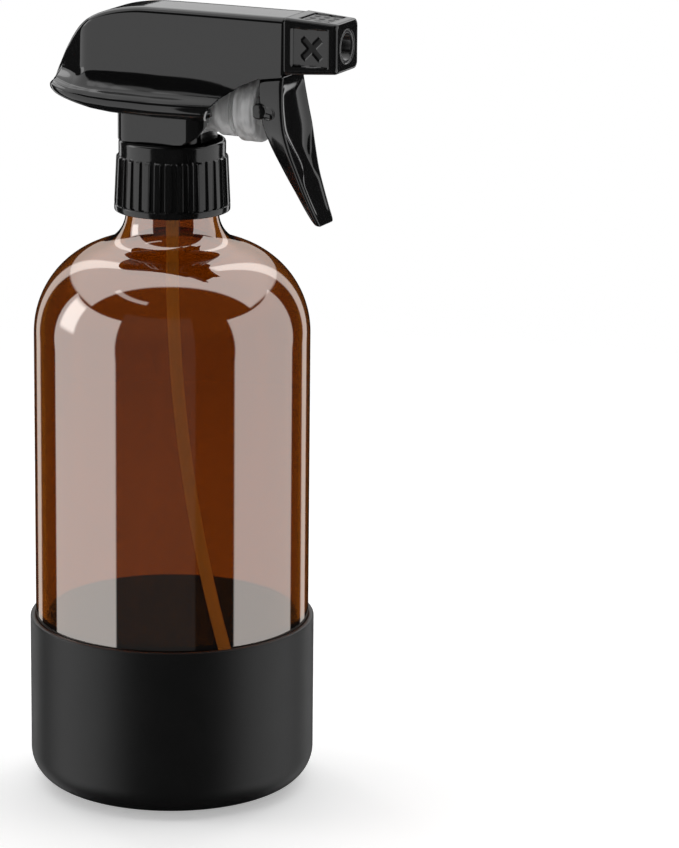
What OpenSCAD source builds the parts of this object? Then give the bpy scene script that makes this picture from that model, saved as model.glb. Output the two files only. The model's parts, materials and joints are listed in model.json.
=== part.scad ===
// Trigger spray bottle: a Boston-round glass bottle in a silicone sleeve, with a
// screw-on trigger pump. Millimetres. The origin is the centre of the sleeve's
// flat underside, +Z is up, +X is the way the nozzle sprays, and the bottle is
// symmetric about Y = 0.

/* [Bottle] */
// Outside diameter of the glass body
bottle_d = 75; // [74:0.5:76]
// Height of the glass bottle, base to rim
bottle_h = 168.6; // [168:0.2:169]
// Glass wall thickness
glass_wall = 2.8; // [2.4:0.1:3.0]
// Radius of the shoulder's rounded part
shoulder_r = 25.4; // [24.5:0.1:26]
// Radius of the fillet where the shoulder meets the neck
neck_fillet = 9; // [8:0.5:10]
// Outside diameter of the neck under its thread
neck_d = 25.2; // [25:0.1:25.3]
// Outside diameter over the neck thread
thread_d = 27.5; // [27:0.1:27.6]
// Axial distance the thread climbs in one turn
thread_pitch = 4.23; // [4.2:0.01:4.3]

/* [Sleeve] */
// Wall thickness of the silicone sleeve
sleeve_wall = 1.48; // [1.2:0.02:2.0]
// Height of the sleeve from the floor
sleeve_h = 47.1; // [35:0.1:60]
// Outside radius of the sleeve's bottom edge
sleeve_corner = 9.3; // [8:0.1:11]

/* [Cap] */
// Diameter over the grip ribs at the cap's foot
cap_d = 31.3; // [31:0.1:32]
// Number of grip ribs round the cap
cap_ribs = 32; // [24:1:40]
// Height of the cap's underside above the floor
cap_z0 = 160.36; // [160.2:0.02:160.6]
// Height of the cap's top above the floor
cap_z1 = 179.9; // [179.8:0.1:180]

/* [Dip tube] */
// Outside diameter of the dip tube
tube_d = 3.4; // [3:0.1:3.4]
// Bore of the dip tube
tube_bore = 2.2; // [1.8:0.1:2.4]
// Radius the tube's lower part is curved to
tube_bend_r = 368; // [330:1:420]

/* [Pump] */
// Diameter of the pump barrel's bore
pump_bore = 12.6; // [12.2:0.1:12.6]
// Radial running clearance of the piston seal in the barrel
seal_gap = 0.05; // [0.03:0.01:0.1]
// Diameter of the valve balls
ball_d = 4; // [3.8:0.1:4]
// Wire diameter of the return spring
spring_wire = 0.9; // [0.7:0.1:1]
// Number of coils in the return spring
spring_turns = 8; // [6:1:9]

/* [Trigger] */
// Diameter of the trigger's pivot pins
pivot_d = 3.2; // [2.8:0.1:3.4]
// Angle the trigger is drawn at, 0 at rest and positive when pulled
pull_show = 0; // [0:1:24]

/* [Nozzle] */
// Width of the nozzle at its back
nozzle_w0 = 16.5; // [16:0.1:16.6]
// Width of the nozzle at its front
nozzle_w1 = 14.2; // [13.8:0.1:15]
// Diameter of the round recess in the nozzle's front
nozzle_eye = 9; // [8.6:0.1:9.4]
// Diameter of the spray orifice
orifice_d = 0.7; // [0.5:0.1:1]

/* [Hidden] */
$fn = 96;

// gap between two faces that touch on the real object
fit = 0.02;
glass_r = bottle_d / 2;
neck_r = neck_d / 2;
base_z = sleeve_wall + fit;                 // glass stands this far above the floor
rim_z = base_z + bottle_h;                  // top of the glass
sleeve_r = glass_r + fit + sleeve_wall;
corner_x = sleeve_r - sleeve_corner;        // centre of the bottom corner, shared by both skins
shoulder_x = glass_r - shoulder_r;          // centre of the shoulder's convex arc
shoulder_z = 126.6;
fillet_x = neck_r + neck_fillet;            // centre of the neck's concave fillet
fillet_z = shoulder_z + sqrt(pow(shoulder_r + neck_fillet, 2) - pow(fillet_x - shoulder_x, 2));
// direction from the shoulder's centre to the fillet's centre
tangent_a = atan2(fillet_z - shoulder_z, fillet_x - shoulder_x);

pump_z = 190.4;                             // height of the pump barrel's axis
spray_z = 208.5;                            // height of the spray axis
pivot_x = 30.0;                             // trigger pivot
pivot_z = 204.4;
boss_x = 29.3;                              // pins that drive the piston
boss_z = 190.6;
bore_r = pump_bore / 2;
inlet_z = 174.0;                            // bottom of the inlet valve's seat
outlet_z = 199.0;                           // bottom of the outlet valve's seat
riser_x = -1.0;
outlet_ball_r = 1.8;

// ---------- helpers ----------

// points of an arc about c from angle a0 to a1 in n steps
function arc(c, r, a0, a1, n) = [for (i = [0 : n]) let (a = a0 + (a1 - a0) * i / n)
    [c[0] + r * cos(a), c[1] + r * sin(a)]];
// point at t on a cubic curve
function bez(p, t) = pow(1 - t, 3) * p[0] + 3 * t * pow(1 - t, 2) * p[1]
    + 3 * t * t * (1 - t) * p[2] + t * t * t * p[3];
function curve(p, n) = [for (i = [0 : n]) bez(p, i / n)];
// value at x in a table of [x, value] rows, eased between rows
function ease(t) = t * t * (3 - 2 * t);
function mix(a, b, t) = a + (b - a) * t;
function row(tab, x, i = 0) = (i >= len(tab) - 2 || x < tab[i + 1][0]) ? i : row(tab, x, i + 1);
function lerp_row(tab, x) = let (i = row(tab, x), d = tab[i + 1][0] - tab[i][0],
    t = max(0, min(1, (x - tab[i][0]) / d))) mix(tab[i][1], tab[i + 1][1], t);
// the same, with a smooth curve through the rows
function slope(tab, i) = (i == 0) ? (tab[1][1] - tab[0][1]) / (tab[1][0] - tab[0][0])
    : (i == len(tab) - 1) ? (tab[i][1] - tab[i - 1][1]) / (tab[i][0] - tab[i - 1][0])
    : (tab[i + 1][1] - tab[i - 1][1]) / (tab[i + 1][0] - tab[i - 1][0]);
function smooth(tab, x) = let (i = row(tab, x), d = tab[i + 1][0] - tab[i][0],
    t = max(0, min(1, (x - tab[i][0]) / d)), t2 = t * t, t3 = t2 * t)
    (2 * t3 - 3 * t2 + 1) * tab[i][1] + (t3 - 2 * t2 + t) * d * slope(tab, i)
    + (3 * t2 - 2 * t3) * tab[i + 1][1] + (t3 - t2) * d * slope(tab, i + 1);

// solid through a list of closed rings with the same number of points; a wall's
// rings run over its outside and back over its inside, so its ends are strips
module skin(rings, wall = false) {
    n = len(rings);
    m = len(rings[0]);
    pts = [for (r = rings) for (p = r) p];
    e = (n - 1) * m;
    sides = [for (i = [0 : n - 2]) for (j = [0 : m - 1]) let (k = (j + 1) % m)
        each [[i * m + j, (i + 1) * m + j, i * m + k], [i * m + k, (i + 1) * m + j, (i + 1) * m + k]]];
    ends = wall ? [for (k = [0 : m / 2 - 2]) each [[k, k + 1, m - 2 - k, m - 1 - k], [e + m - 1 - k, e + m - 2 - k, e + k + 1, e + k]]]
        : [[for (j = [0 : m - 1]) j], [for (j = [0 : m - 1]) e + m - 1 - j]];
    polyhedron(pts, concat(sides, ends), convexity = 8);
}

// thread ridge standing on radius r_foot, reaching r_crest, starting at height z
module thread(r_foot, r_crest, z, turns, foot, crest) {
    steps = ceil(turns * 36);
    root = r_foot > r_crest ? r_foot + 0.25 : r_foot - 0.25;
    rings = [for (i = [0 : steps])
        let (a = i * 360 * turns / steps, zz = z + thread_pitch * a / 360,
             e = min(1, i / 4, (steps - i) / 4),
             rc = mix(r_foot, r_crest, max(0.05, e)), f = foot / 2 * mix(0.5, 1, e), c = crest / 2 * mix(0.5, 1, e),
             sec = [[root, zz - f], [rc, zz - c], [rc, zz + c], [root, zz + f]])
        [for (p = (r_foot > r_crest ? sec : [sec[3], sec[2], sec[1], sec[0]])) [p[0] * cos(a), p[0] * sin(a), p[1]]]];
    skin(rings);
}

// ring turned about the X axis at height z, from x0 to x1
module ringx(x0, x1, r, z, hole = 0) {
    translate([x0, 0, z]) rotate([0, 90, 0]) difference() {
        cylinder(r = r, h = x1 - x0);
        if (hole > 0) translate([0, 0, -1]) cylinder(r = hole, h = x1 - x0 + 2);
    }
}

// a closed XZ outline given thickness across Y from y0 to y1
module plate(pts, y0, y1) {
    translate([0, y1, 0]) rotate([90, 0, 0]) linear_extrude(y1 - y0) polygon(pts);
}

// ---------- bottle ----------

module glass_bottle() {
    t = glass_wall;
    outer = concat(
        [[0, base_z + 1.6], [17, base_z + 1.2], [24, base_z]],
        arc([corner_x, base_z + corner_r()], corner_r(), -90, 0, 10),
        arc([shoulder_x, shoulder_z], shoulder_r, 0, tangent_a, 22),
        arc([fillet_x, fillet_z], neck_fillet, tangent_a + 180, 180, 10),
        arc([neck_r - 0.8, rim_z - 0.8], 0.8, 0, 90, 4));
    inner = concat(
        arc([neck_r - t + 0.6, rim_z - 0.6], 0.6, 90, 180, 4),
        arc([fillet_x, fillet_z], neck_fillet + t, 180, tangent_a + 180, 10),
        arc([shoulder_x, shoulder_z], shoulder_r - t, tangent_a, 0, 22),
        arc([glass_r - t - 5, base_z + 3.5 + 5], 5, 0, -90, 8),
        [[20, base_z + 3.9], [0, base_z + 5.0]]);
    color("saddlebrown", 0.6) {
        rotate_extrude($fn = 128) polygon(concat(outer, inner));
        thread(neck_r, thread_d / 2, 163.3, 1.2, 2.3, 1.0);
    }
}
function corner_r() = glass_r - corner_x;

module silicone_sleeve() {
    w = sleeve_wall;
    g = glass_r + fit;
    color("#1c1c1d") rotate_extrude($fn = 128) polygon(concat(
        [[0, 0]],
        arc([corner_x, sleeve_corner], sleeve_corner, -90, 0, 12),
        arc([sleeve_r - w / 2, sleeve_h - w / 2], w / 2, 0, 180, 8),
        arc([corner_x, sleeve_corner], g - corner_x, 0, -90, 12),
        [[0, w]]));
}

// ---------- cap ----------

cap_body0 = 14.8;                           // plain radius at the foot
cap_body1 = 14.45;                          // plain radius at the top
rib_z = 175.7;                              // top of the ribs
cap_bore = thread_d / 2 + 0.2;

module screw_cap() {
    rib_r = cap_d / 2;
    step = 360 / cap_ribs;
    color("#101011") difference() {
        union() {
            rotate_extrude() polygon(concat(
                [[0, cap_z0], [rib_r - 0.5, cap_z0], [rib_r, cap_z0 + 0.5], [rib_r, cap_z0 + 1.6], [cap_body0, cap_z0 + 2.1],
                 [cap_body1, rib_z]], [[cap_body1, cap_z1 - 0.8]], arc([cap_body1 - 0.8, cap_z1 - 0.8], 0.8, 20, 90, 4), [[0, cap_z1]]));
            intersection() {
                translate([0, 0, cap_z0 + 1]) linear_extrude(rib_z - cap_z0 - 1)
                    polygon([for (i = [0 : cap_ribs - 1]) for (p = [[-0.36, 13.9], [-0.33, rib_r - 0.35], [-0.2, rib_r], [0.2, rib_r], [0.33, rib_r - 0.35], [0.36, 13.9]])
                        let (a = (i + p[0]) * step) [p[1] * cos(a), p[1] * sin(a)]]);
                rotate_extrude() polygon([[0, cap_z0], [rib_r, cap_z0], [rib_r, cap_z0 + 2], [15.07, rib_z - 0.5], [14.6, rib_z], [0, rib_z]]);
            }
        }
        translate([0, 0, cap_z0 - 1]) cylinder(r = cap_bore, h = 171.9 - cap_z0 + 1);
        translate([0, 0, 171.8]) cylinder(r = 13.55, h = 177.9 - 171.8);
        translate([0, 0, 177]) cylinder(r = 11.3, h = 5);
    }
    color("#101011") thread(cap_bore, neck_r + 0.35, 161.7, 1.0, 1.3, 0.7);
}

module neck_gasket() {
    color("white") translate([0, 0, rim_z + fit]) difference() {
        cylinder(r = 13.3, h = 1.5);
        translate([0, 0, -1]) cylinder(r = 9.7, h = 4);
    }
}

// flanged plug that carries the dip tube, seals the neck and holds the cap on the pump
module tube_retainer() {
    z0 = rim_z + fit + 1.5 + fit;
    seat = inlet_z;
    ball = ball_d / 2;
    color("gainsboro") rotate_extrude() polygon([
        [tube_d / 2 + fit, z0 - 11], [3.0, z0 - 11], [3.3, z0 - 3], [3.6, z0], [8.3, z0], [8.4, z0 - 4], [9.3, z0 - 4],
        [9.55, z0 - 3], [9.55, z0], [13.3, z0], [13.3, z0 + 1.8], [13.3, 177.85], [11.5, 177.85],
        [11.5, z0 + 1.8], [4.2, z0 + 1.8], [4.2, 178.95], [2.9, 178.95], [2.9, seat + 1.7], [1.2, seat],
        [1.2, z0 + 0.2], [tube_d / 2 + fit, z0 + 0.2]]);
}

module dip_tube() {
    z_top = rim_z + fit * 2 + 1.5 + 0.15;
    z_bend = 146;
    r_out = tube_d / 2;
    r_in = tube_bore / 2;
    sweep_a = asin((z_bend - 7.5) / tube_bend_r);
    color("burlywood") difference() {
        union() {
            translate([0, 0, z_bend]) cylinder(r = r_out, h = z_top - z_bend);
            translate([tube_bend_r, 0, z_bend]) rotate([90, 0, 180]) rotate_extrude(angle = -sweep_a, $fn = 720)
                translate([tube_bend_r, 0]) circle(r = r_out, $fn = 32);
        }
        translate([0, 0, z_bend]) cylinder(r = r_in, h = z_top - z_bend + 1);
        translate([tube_bend_r, 0, z_bend]) rotate([90, 0, 180]) rotate_extrude(angle = -sweep_a - 1, $fn = 720)
            translate([tube_bend_r, 0]) circle(r = r_in, $fn = 32);
    }
}

// ball resting on a 45 degree seat whose throat has radius 1.2 at inlet_z
module inlet_ball() {
    r = ball_d / 2;
    z = inlet_z + r / sqrt(2) - 1.2 + r / sqrt(2) + 0.03;
    color("silver") translate([0, 0, z]) sphere(r = r);
}

module outlet_ball() {
    r = outlet_ball_r;
    z = outlet_z + r / sqrt(2) - 1.1 + r / sqrt(2) + 0.03;
    color("silver") translate([riser_x, 0, z]) sphere(r = r);
}

// ---------- pump ----------

barrel_x0 = -6.2;
barrel_x1 = 20.9;
nose_x = 44.5;

module pump_body() {
    color("#d8d8d4", 0.85) difference() {
        union() {
            // neck inside the cap and the collar
            translate([0, 0, 174.0]) cylinder(r = 11.0, h = 7.8);
            // pedestal under the barrel
            translate([-8, -5, 180]) cube([19, 10, 8]);
            // barrel and its front rim
            ringx(barrel_x0, barrel_x1, 7.6, pump_z);
            ringx(16.2, 20.4, 8.3, pump_z);
            // riser and discharge tube
            translate([riser_x, 0, 195]) cylinder(r = 4.4, h = 18);
            ringx(riser_x, 36.3, 2.9, spray_z);
            // web between barrel and discharge tube
            translate([riser_x, -1, 196]) cube([12, 2, 11]);
            // block and ears round the trigger pivot
            difference() {
                translate([26.6, -5, 201.8]) cube([6.8, 10, 9]);
                translate([26, -3.4, 200]) cube([8, 6.8, 5.2]);
            }
            // front plate that closes the shroud, and the nozzle's nose
            translate([35.3, -6.7, 202.4]) cube([1.0, 13.4, 10.0]);
            translate([35.3, -4.7, 202.4]) cube([1.0, 9.4, 11.6]);
            ringx(36.2, nose_x, 4.6, spray_z);
            ringx(39.0, 40.0, 5.0, spray_z);
        }
        // hollow neck round the inlet boss
        difference() {
            translate([0, 0, 173]) cylinder(r = 9.4, h = 7.2);
            translate([0, 0, 172]) cylinder(r = 6.0, h = 10);
        }
        // inlet bore and the slotted stop above the ball
        translate([0, 0, 173]) cylinder(r = 4.2 + fit, h = 178.95 + fit - 173);
        translate([0, 0, 178]) cylinder(r = 1.5, h = 8);
        translate([-2.4, -0.5, 178]) cube([4.8, 1, 2]);
        // barrel bore, with a post for the spring
        difference() {
            ringx(-4.5, 30, bore_r, pump_z);
            ringx(-5, -2.6, 2.2, pump_z);
        }
        // outlet passage, seat and ball chamber
        translate([riser_x, 0, 194]) cylinder(r = 1.1, h = 6);
        translate([riser_x, 0, outlet_z]) cylinder(r1 = 1.1, r2 = 2.6, h = 1.5);
        translate([riser_x, 0, outlet_z + 1.5]) cylinder(r = 2.6, h = 20);
        // discharge bore and the spinner's pocket
        ringx(riser_x, 45, 1.6, spray_z);
        ringx(41.0, 45, 2.8, spray_z);
        // pivot holes
        translate([pivot_x, 10, pivot_z]) rotate([90, 0, 0]) cylinder(r = pivot_d / 2 + 0.05, h = 20);
    }
}

// closes the riser and stops the outlet ball
module riser_plug() {
    color("gainsboro") translate([riser_x, 0, 0]) {
        translate([0, 0, 203.4]) cylinder(r = 1.1, h = 8);
        translate([0, 0, 210.8]) cylinder(r = 2.6 - fit, h = 2.4);
        translate([0, 0, 213.0 + fit]) cylinder(r = 4.2, h = 0.8);
    }
}

module piston() {
    slot_r = pivot_d / 2 + 0.5;
    color("#e4e4e0", 0.85) difference() {
        union() {
            // rod
            ringx(9.0, 27, 4.4, pump_z);
            ringx(15.1, 16.5, 5.6, pump_z);
            // collar that slides over the barrel's rim
            ringx(22.3, 27.8, 9.3, pump_z, 0);
            // ears that hold the trigger's pins
            for (s = [-1, 1]) translate([27, s * 5.25 - 0.75, 186.8]) cube([4.4, 1.5, 7.1]);
        }
        // hollow of the collar behind its front disc
        difference() {
            ringx(21, 26.6, 8.6, pump_z);
            ringx(20, 27, 4.4, pump_z);
        }
        // pocket for the spring
        ringx(8, 16.2, 3.6, pump_z);
        ringx(8, 25, 1.8, pump_z);
        // slots for the drive pins, and the notch that clears the trigger's bosses
        translate([boss_x, 10, boss_z - 0.1]) rotate([90, 0, 0]) cylinder(r = slot_r, h = 20);
        translate([boss_x, 10, boss_z + 1.6]) rotate([90, 0, 0]) cylinder(r = slot_r, h = 20);
        translate([boss_x - slot_r, -10, boss_z - 0.1]) cube([2 * slot_r, 20, 1.7]);
        for (s = [-1, 1]) {
            translate([boss_x, s * 8.2 + 2, boss_z - 0.1]) rotate([90, 0, 0]) cylinder(r = 2.4, h = 4);
            translate([boss_x, s * 8.2 + 2, boss_z + 1.6]) rotate([90, 0, 0]) cylinder(r = 2.4, h = 4);
            translate([boss_x - 2.4, s * 8.2 - 2, boss_z - 0.1]) cube([4.8, 4, 1.7]);
        }
    }
}

// soft two-lipped cup on the rod's end
module piston_seal() {
    r = bore_r - seal_gap;
    i = 4.4 + fit;
    color("whitesmoke") translate([0, 0, pump_z]) rotate([0, 90, 0]) rotate_extrude() polygon([
        [i, 9.2], [5.0, 9.2], [5.6, 8.4], [r, 8.4], [r, 9.4], [5.5, 10.8], [5.5, 12.6], [r, 14.0], [r, 15.0], [5.7, 15.0], [5.2, 14.2], [5.2, 15.0], [i, 15.0]]);
}

module return_spring() {
    r = 2.85;
    w = spring_wire / 2;
    x0 = -4.5 + w + 0.04;
    x1 = 16.2 - w - 0.04;
    steps = spring_turns * 20;
    // closed end coils, open ones between
    function at(i) = let (u = i / steps * spring_turns, e = 1, n = spring_turns,
        d = 2 * w * 1.06)
        u < e ? x0 + d * u : u > n - e ? x1 - d * (n - u) : mix(x0 + d, x1 - d, (u - e) / (n - 2 * e));
    rings = [for (i = [0 : steps]) let (a = i * 18)
        [for (j = [0 : 7]) let (b = j * 45, q = r + w * cos(b))
            [at(i) + w * sin(b), q * cos(a), pump_z + q * sin(a)]]];
    color("silver") skin(rings);
}

// ---------- trigger ----------

trig_front = [[35.7, 200], [36.0, 187], [39.6, 174], [45.9, 160.4]];
trig_rear = [[28.9, 199], [28.0, 189], [31.8, 178.5], [44.2, 160.7]];
// half width at each height
trig_half = [[159, 4.4], [163, 5.2], [168, 6.1], [174, 7.0], [180, 8.4], [185.3, 9.2], [191, 8.65], [196, 7.7], [200, 6.7]];

module trig_side(n = 20) {
    plate(concat(curve(trig_front, n), [[46.1, 159.7], [45.0, 159.4]], [for (i = [n : -1 : 0]) bez(trig_rear, i / n)]), -12, 12);
}
// slab following the widths, made narrower by in
module trig_width(in = 0, z0 = 158, z1 = 200) {
    zs = [for (i = [0 : 24]) z0 + (z1 - z0) * i / 24];
    rotate([90, 0, 90]) translate([0, 0, 20]) linear_extrude(40)
        polygon(concat([for (z = zs) [smooth(trig_half, z) - in, z]],
            [for (i = [24 : -1 : 0]) [-smooth(trig_half, zs[i]) + in, zs[i]]]));
}
module trig_offset(dx, n = 20) {
    plate(concat([for (i = [0 : n]) bez(trig_front, i / n) + [dx, 0]], [[25, 155], [20, 155], [20, 202], [35.7 + dx, 202]]), -12, 12);
}

module trigger() {
    color("#111112") translate([pivot_x, 0, pivot_z]) rotate([0, pull_show, 0]) translate([-pivot_x, 0, -pivot_z]) {
        difference() {
            union() {
                intersection() {
                    trig_side();
                    trig_width();
                }
                // arms up to the pivot
                for (s = [-1, 1]) translate([0, s * 5.7, 0]) {
                    plate(concat([[28.9, 198], [27.4, pivot_z]], arc([pivot_x, pivot_z], 2.6, 180, 0, 12), [[34.4, 201.4], [35.5, 198]]), -0.6, 0.6);
                }
                // rounded bosses at the side walls' back edge
                for (s = [-1, 1]) translate([boss_x, s * 7.4 + 1.0, boss_z]) rotate([90, 0, 0]) cylinder(r = 2.1, h = 2.0);
            }
            // hollow behind the finger wall, open at the back
            difference() {
                intersection() {
                    trig_width(1.9, 162, 203);
                    trig_offset(-3.1);
                }
                translate([30, -12, 150]) cube([30, 24, 12]);
            }
            // finger channel in the front face
            intersection() {
                trig_width(1.9, 164, 197.5);
                difference() {
                    translate([30, -12, 164]) cube([30, 24, 33.5]);
                    trig_offset(-1.4);
                }
            }
            // arched recess in each side wall
            for (s = [-1, 1]) translate([32.2, s * 9.0, 189.6]) rotate([90, 0, 0]) {
                translate([0, 0, -0.9]) cylinder(r = 2.2, h = 1.8);
            }
        }
        // bar in each recess, drive pins and pivot pins
        for (s = [-1, 1]) {
            translate([30.4, s * 8.0 - 0.6, 188.9]) cube([3.4, 1.2, 1.7]);
            translate([boss_x, s * 5.7 + 1.1, boss_z]) rotate([90, 0, 0]) cylinder(r = pivot_d / 2 + 0.3, h = 2.2);
            translate([pivot_x, s * 4.6 + 0.9, pivot_z]) rotate([90, 0, 0]) cylinder(r = pivot_d / 2, h = 1.8);
        }
    }
}

// ---------- shroud ----------

// crest height, rim half width, rim height and top half width along the length
sh_top = [[-34.8, 193.6], [-33.6, 195.5], [-31.5, 199.0], [-29.6, 202.1], [-27.3, 205.2], [-24, 208.4], [-20.3, 211.4], [-16, 213.6], [-10, 215.2], [-4, 215.75], [36.4, 215.9]];
sh_rim_w = [[-34.8, 2.6], [-34.0, 5.4], [-32.5, 8.4], [-30, 11.2], [-26, 13.3], [-20, 14.6], [-12, 15.1], [0, 15.0], [8, 14.3], [15, 12.8], [20, 11.2], [25, 9.9], [30, 8.9], [36.4, 8.3]];
sh_rim_z = [[-34.8, 192.6], [-33, 191.8], [-30, 191.1], [-26, 190.2], [-22, 189.3], [-18, 188.5], [-12, 187.9], [0, 187.5], [15.5, 187.6], [16.8, 190.5], [19, 193.6], [24.5, 197.3], [30, 199.7], [36.4, 201.0]];
sh_top_w = [[-34.8, 2.0], [-33.8, 4.6], [-32, 6.8], [-28, 7.9], [-22, 8.2], [36.4, 8.25]];
sh_side_z = 198.5;                          // where the upright side turns into the flare
sh_wall = 1.2;

// one half section from crest to rim: [half width, height], shrunk by in
function sh_half(x, in) =
    let (steep = abs(smooth(sh_top, x + 0.2) - smooth(sh_top, x - 0.2)) / 0.4, zb = lerp_row(sh_rim_z, x),
         zt = max(zb + (in > 0 ? 0.2 : 0.8), smooth(sh_top, x) - in * sqrt(1 + steep * steep)), wt = smooth(sh_top_w, x) - in,
         wb = smooth(sh_rim_w, x) - in, h = zt - zb, r = min(2.2, h * 0.35, wt * 0.6),
         zf = max(zb + h * 0.45, min(sh_side_z, zt - h * 0.3)), ws = wt + min(1.9, (wb - wt) * 0.35),
         lip = min(1.8, h * 0.25))
    concat([[0, zt], [wt * 0.5, zt - 0.001 * h]],
        [for (a = [75, 45, 15]) [wt - r + r * cos(a), zt - r + r * sin(a)]],
        [for (k = [1 : 7]) let (t = k / 7) bez([[wt, zt - r * 1.2], [ws, mix(zt - r, zf, 0.95)], [ws + (wb - ws) * 0.15, mix(zb, zf, 0.45)], [wb, zb + lip]], t)],
        [[wb - 0.1 * lip, zb + 0.4 * lip], [wb - 0.4 * lip, zb]]);
// half width of the outside at height z
function sh_at(x, z) = let (h = sh_half(x, 0), k = [for (i = [0 : len(h) - 2]) if (h[i][1] >= z && h[i + 1][1] < z) i][0])
    mix(h[k][0], h[k + 1][0], (h[k][1] - z) / (h[k][1] - h[k + 1][1]));

// plan of the collar, a rounded oblong made narrower by in
function oblong(in) = let (r = 5.5 - in, x0 = -12.3 + 5.5, x1 = 15.4 - 5.5, y = 12.2 - 5.5)
    concat(arc([x1, y], r, 0, 90, 8), arc([x0, y], r, 90, 180, 8), arc([x0, -y], r, 180, 270, 8), arc([x1, -y], r, 270, 360, 8));

module shroud() {
    xs = [-34.8, -34.3, -33.5, -32.5, -31, -29, -26.5, -23.5, -20, -16, -11, -6, 0, 6, 11, 15.5, 16.5, 18, 20, 22.5, 26, 30, 36.4];
    // each ring is the wall's own outline: over the outside, then back over the inside
    rings = [for (x = xs) let (o = sh_half(x, 0), i = sh_half(x, sh_wall), n = len(o))
        concat([for (k = [n - 1 : -1 : 0]) [x, o[k][0], o[k][1]]], [for (k = [1 : n - 1]) [x, -o[k][0], o[k][1]]],
               [for (k = [n - 1 : -1 : 0]) [x, -i[k][0], i[k][1]]], [for (k = [1 : n - 1]) [x, i[k][0], i[k][1]]])];
    fx = [for (i = [0 : 16]) mix(-33.9, 15.0, i / 16)];
    color("#121213") {
        skin(rings, true);
        // floor across the back, and the collar standing on the cap
        difference() {
            union() {
                skin([for (x = fx) let (z0 = lerp_row(sh_rim_z, x) + 0.25, z1 = z0 + (x < -33 ? 0.5 : 1.1), w0 = sh_at(x, z0) - 0.6, w1 = sh_at(x, z1) - 0.6)
                    [[x, w0, z0], [x, w1, z1], [x, -w1, z1], [x, -w0, z0]]]);
                translate([0, 0, 180.05]) linear_extrude(188.9 - 180.05) polygon(oblong(0));
            }
            translate([0, 0, 179]) linear_extrude(14) polygon(oblong(1.1));
            // way out for the barrel
            ringx(5, 24, 7.9, pump_z);
            // cut away under the pump at the front
            plate(concat([[30, 179], [5.4, 179], [5.9, 180.1]], curve([[8.5, 180.3], [12.6, 181.6], [14.9, 184.0], [15.3, 188.0]], 8), [[15.3, 189.5], [30, 189.5]]), -20, 20);
        }
    }
}

// ---------- nozzle ----------

nz_x0 = 36.5;
nz_x1 = 50.6;

module nozzle() {
    h0 = 15.15;
    h1 = 13.3;
    color("#111112") difference() {
        intersection() {
            translate([0, 0, spray_z - 10]) linear_extrude(20)
                polygon([[nz_x0, -nozzle_w0 / 2], [nz_x1, -nozzle_w1 / 2], [nz_x1, nozzle_w1 / 2], [nz_x0, nozzle_w0 / 2]]);
            plate([[nz_x0, spray_z - h0 / 2], [nz_x1, spray_z - h1 / 2], [nz_x1, spray_z + h1 / 2], [nz_x0, spray_z + h0 / 2]], -10, 10);
            translate([nz_x0, 0, spray_z]) rotate([0, 90, 0]) cylinder(r1 = 10.5, r2 = 9.1, h = nz_x1 - nz_x0);
        }
        // hollow behind, round the hub
        difference() {
            translate([nz_x0 - 1, -nozzle_w0 / 2 + 1.8, spray_z - h0 / 2 + 1.8]) cube([8, nozzle_w0 - 3.6, h0 - 3.6]);
            ringx(nz_x0 - 2, 50, 6.2, spray_z);
        }
        // hub bore, with the groove that snaps over the nose's bead
        ringx(nz_x0 - 1, 45.0, 4.65, spray_z);
        ringx(38.8, 40.2, 5.1, spray_z);
        // seat of the orifice insert
        ringx(44, 51, nozzle_eye / 2, spray_z);
        // shallow panels: crosses on the sides, dots above and below
        for (s = [-1, 1]) translate([43.6, s * 8.0, spray_z]) for (a = [45, -45])
            rotate([0, a, 0]) translate([-3.2, -0.55, -0.65]) cube([6.4, 1.1, 1.3]);
        for (s = [-1, 1]) for (i = [-1 : 1]) for (j = [-1 : 1])
            translate([43.4 + i * 3, j * 3, spray_z + s * 7.4]) translate([0, 0, -0.6]) cylinder(r = 0.7, h = 1.2, $fn = 16);
    }
}

// cup pressed into the nozzle's front, with the orifice in its floor
module orifice_insert() {
    r = nozzle_eye / 2 - fit;
    color("#2a2a2b") difference() {
        ringx(45.0 + fit, 50.5, r, spray_z);
        ringx(46.6, 51, 3.5, spray_z);
        ringx(44, 47, orifice_d / 2, spray_z);
        translate([45.0, 0, spray_z]) rotate([0, 90, 0]) cylinder(r1 = 1.6, r2 = 0.4, h = 0.8);
    }
}

// swirl insert in the end of the discharge tube
module spinner() {
    color("white") difference() {
        ringx(41.1, 44.6, 2.8 - fit, spray_z);
        ringx(40, 43.2, 1.2, spray_z);
        for (a = [0, 180]) rotate([0, 0, 0]) translate([42.6, 0, spray_z]) rotate([a, 0, 0]) translate([0, 1.0, -0.4]) cube([3, 2.5, 0.8]);
        ringx(44.1, 45, 1.3, spray_z);
    }
}

module nozzle_seal() {
    color("dimgray") ringx(nose_x + fit, 44.96, 4.4, spray_z, 3.0);
}

glass_bottle();
silicone_sleeve();
screw_cap();
neck_gasket();
tube_retainer();
dip_tube();
inlet_ball();
pump_body();
outlet_ball();
riser_plug();
piston();
piston_seal();
return_spring();
trigger();
shroud();
nozzle();
spinner();
nozzle_seal();
orifice_insert();
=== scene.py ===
"""Looks of the trigger spray bottle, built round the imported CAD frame. Millimetres in the tables, metres in Blender."""
import json
import math

import bpy
import numpy as np
from mathutils import Matrix, Vector

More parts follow.
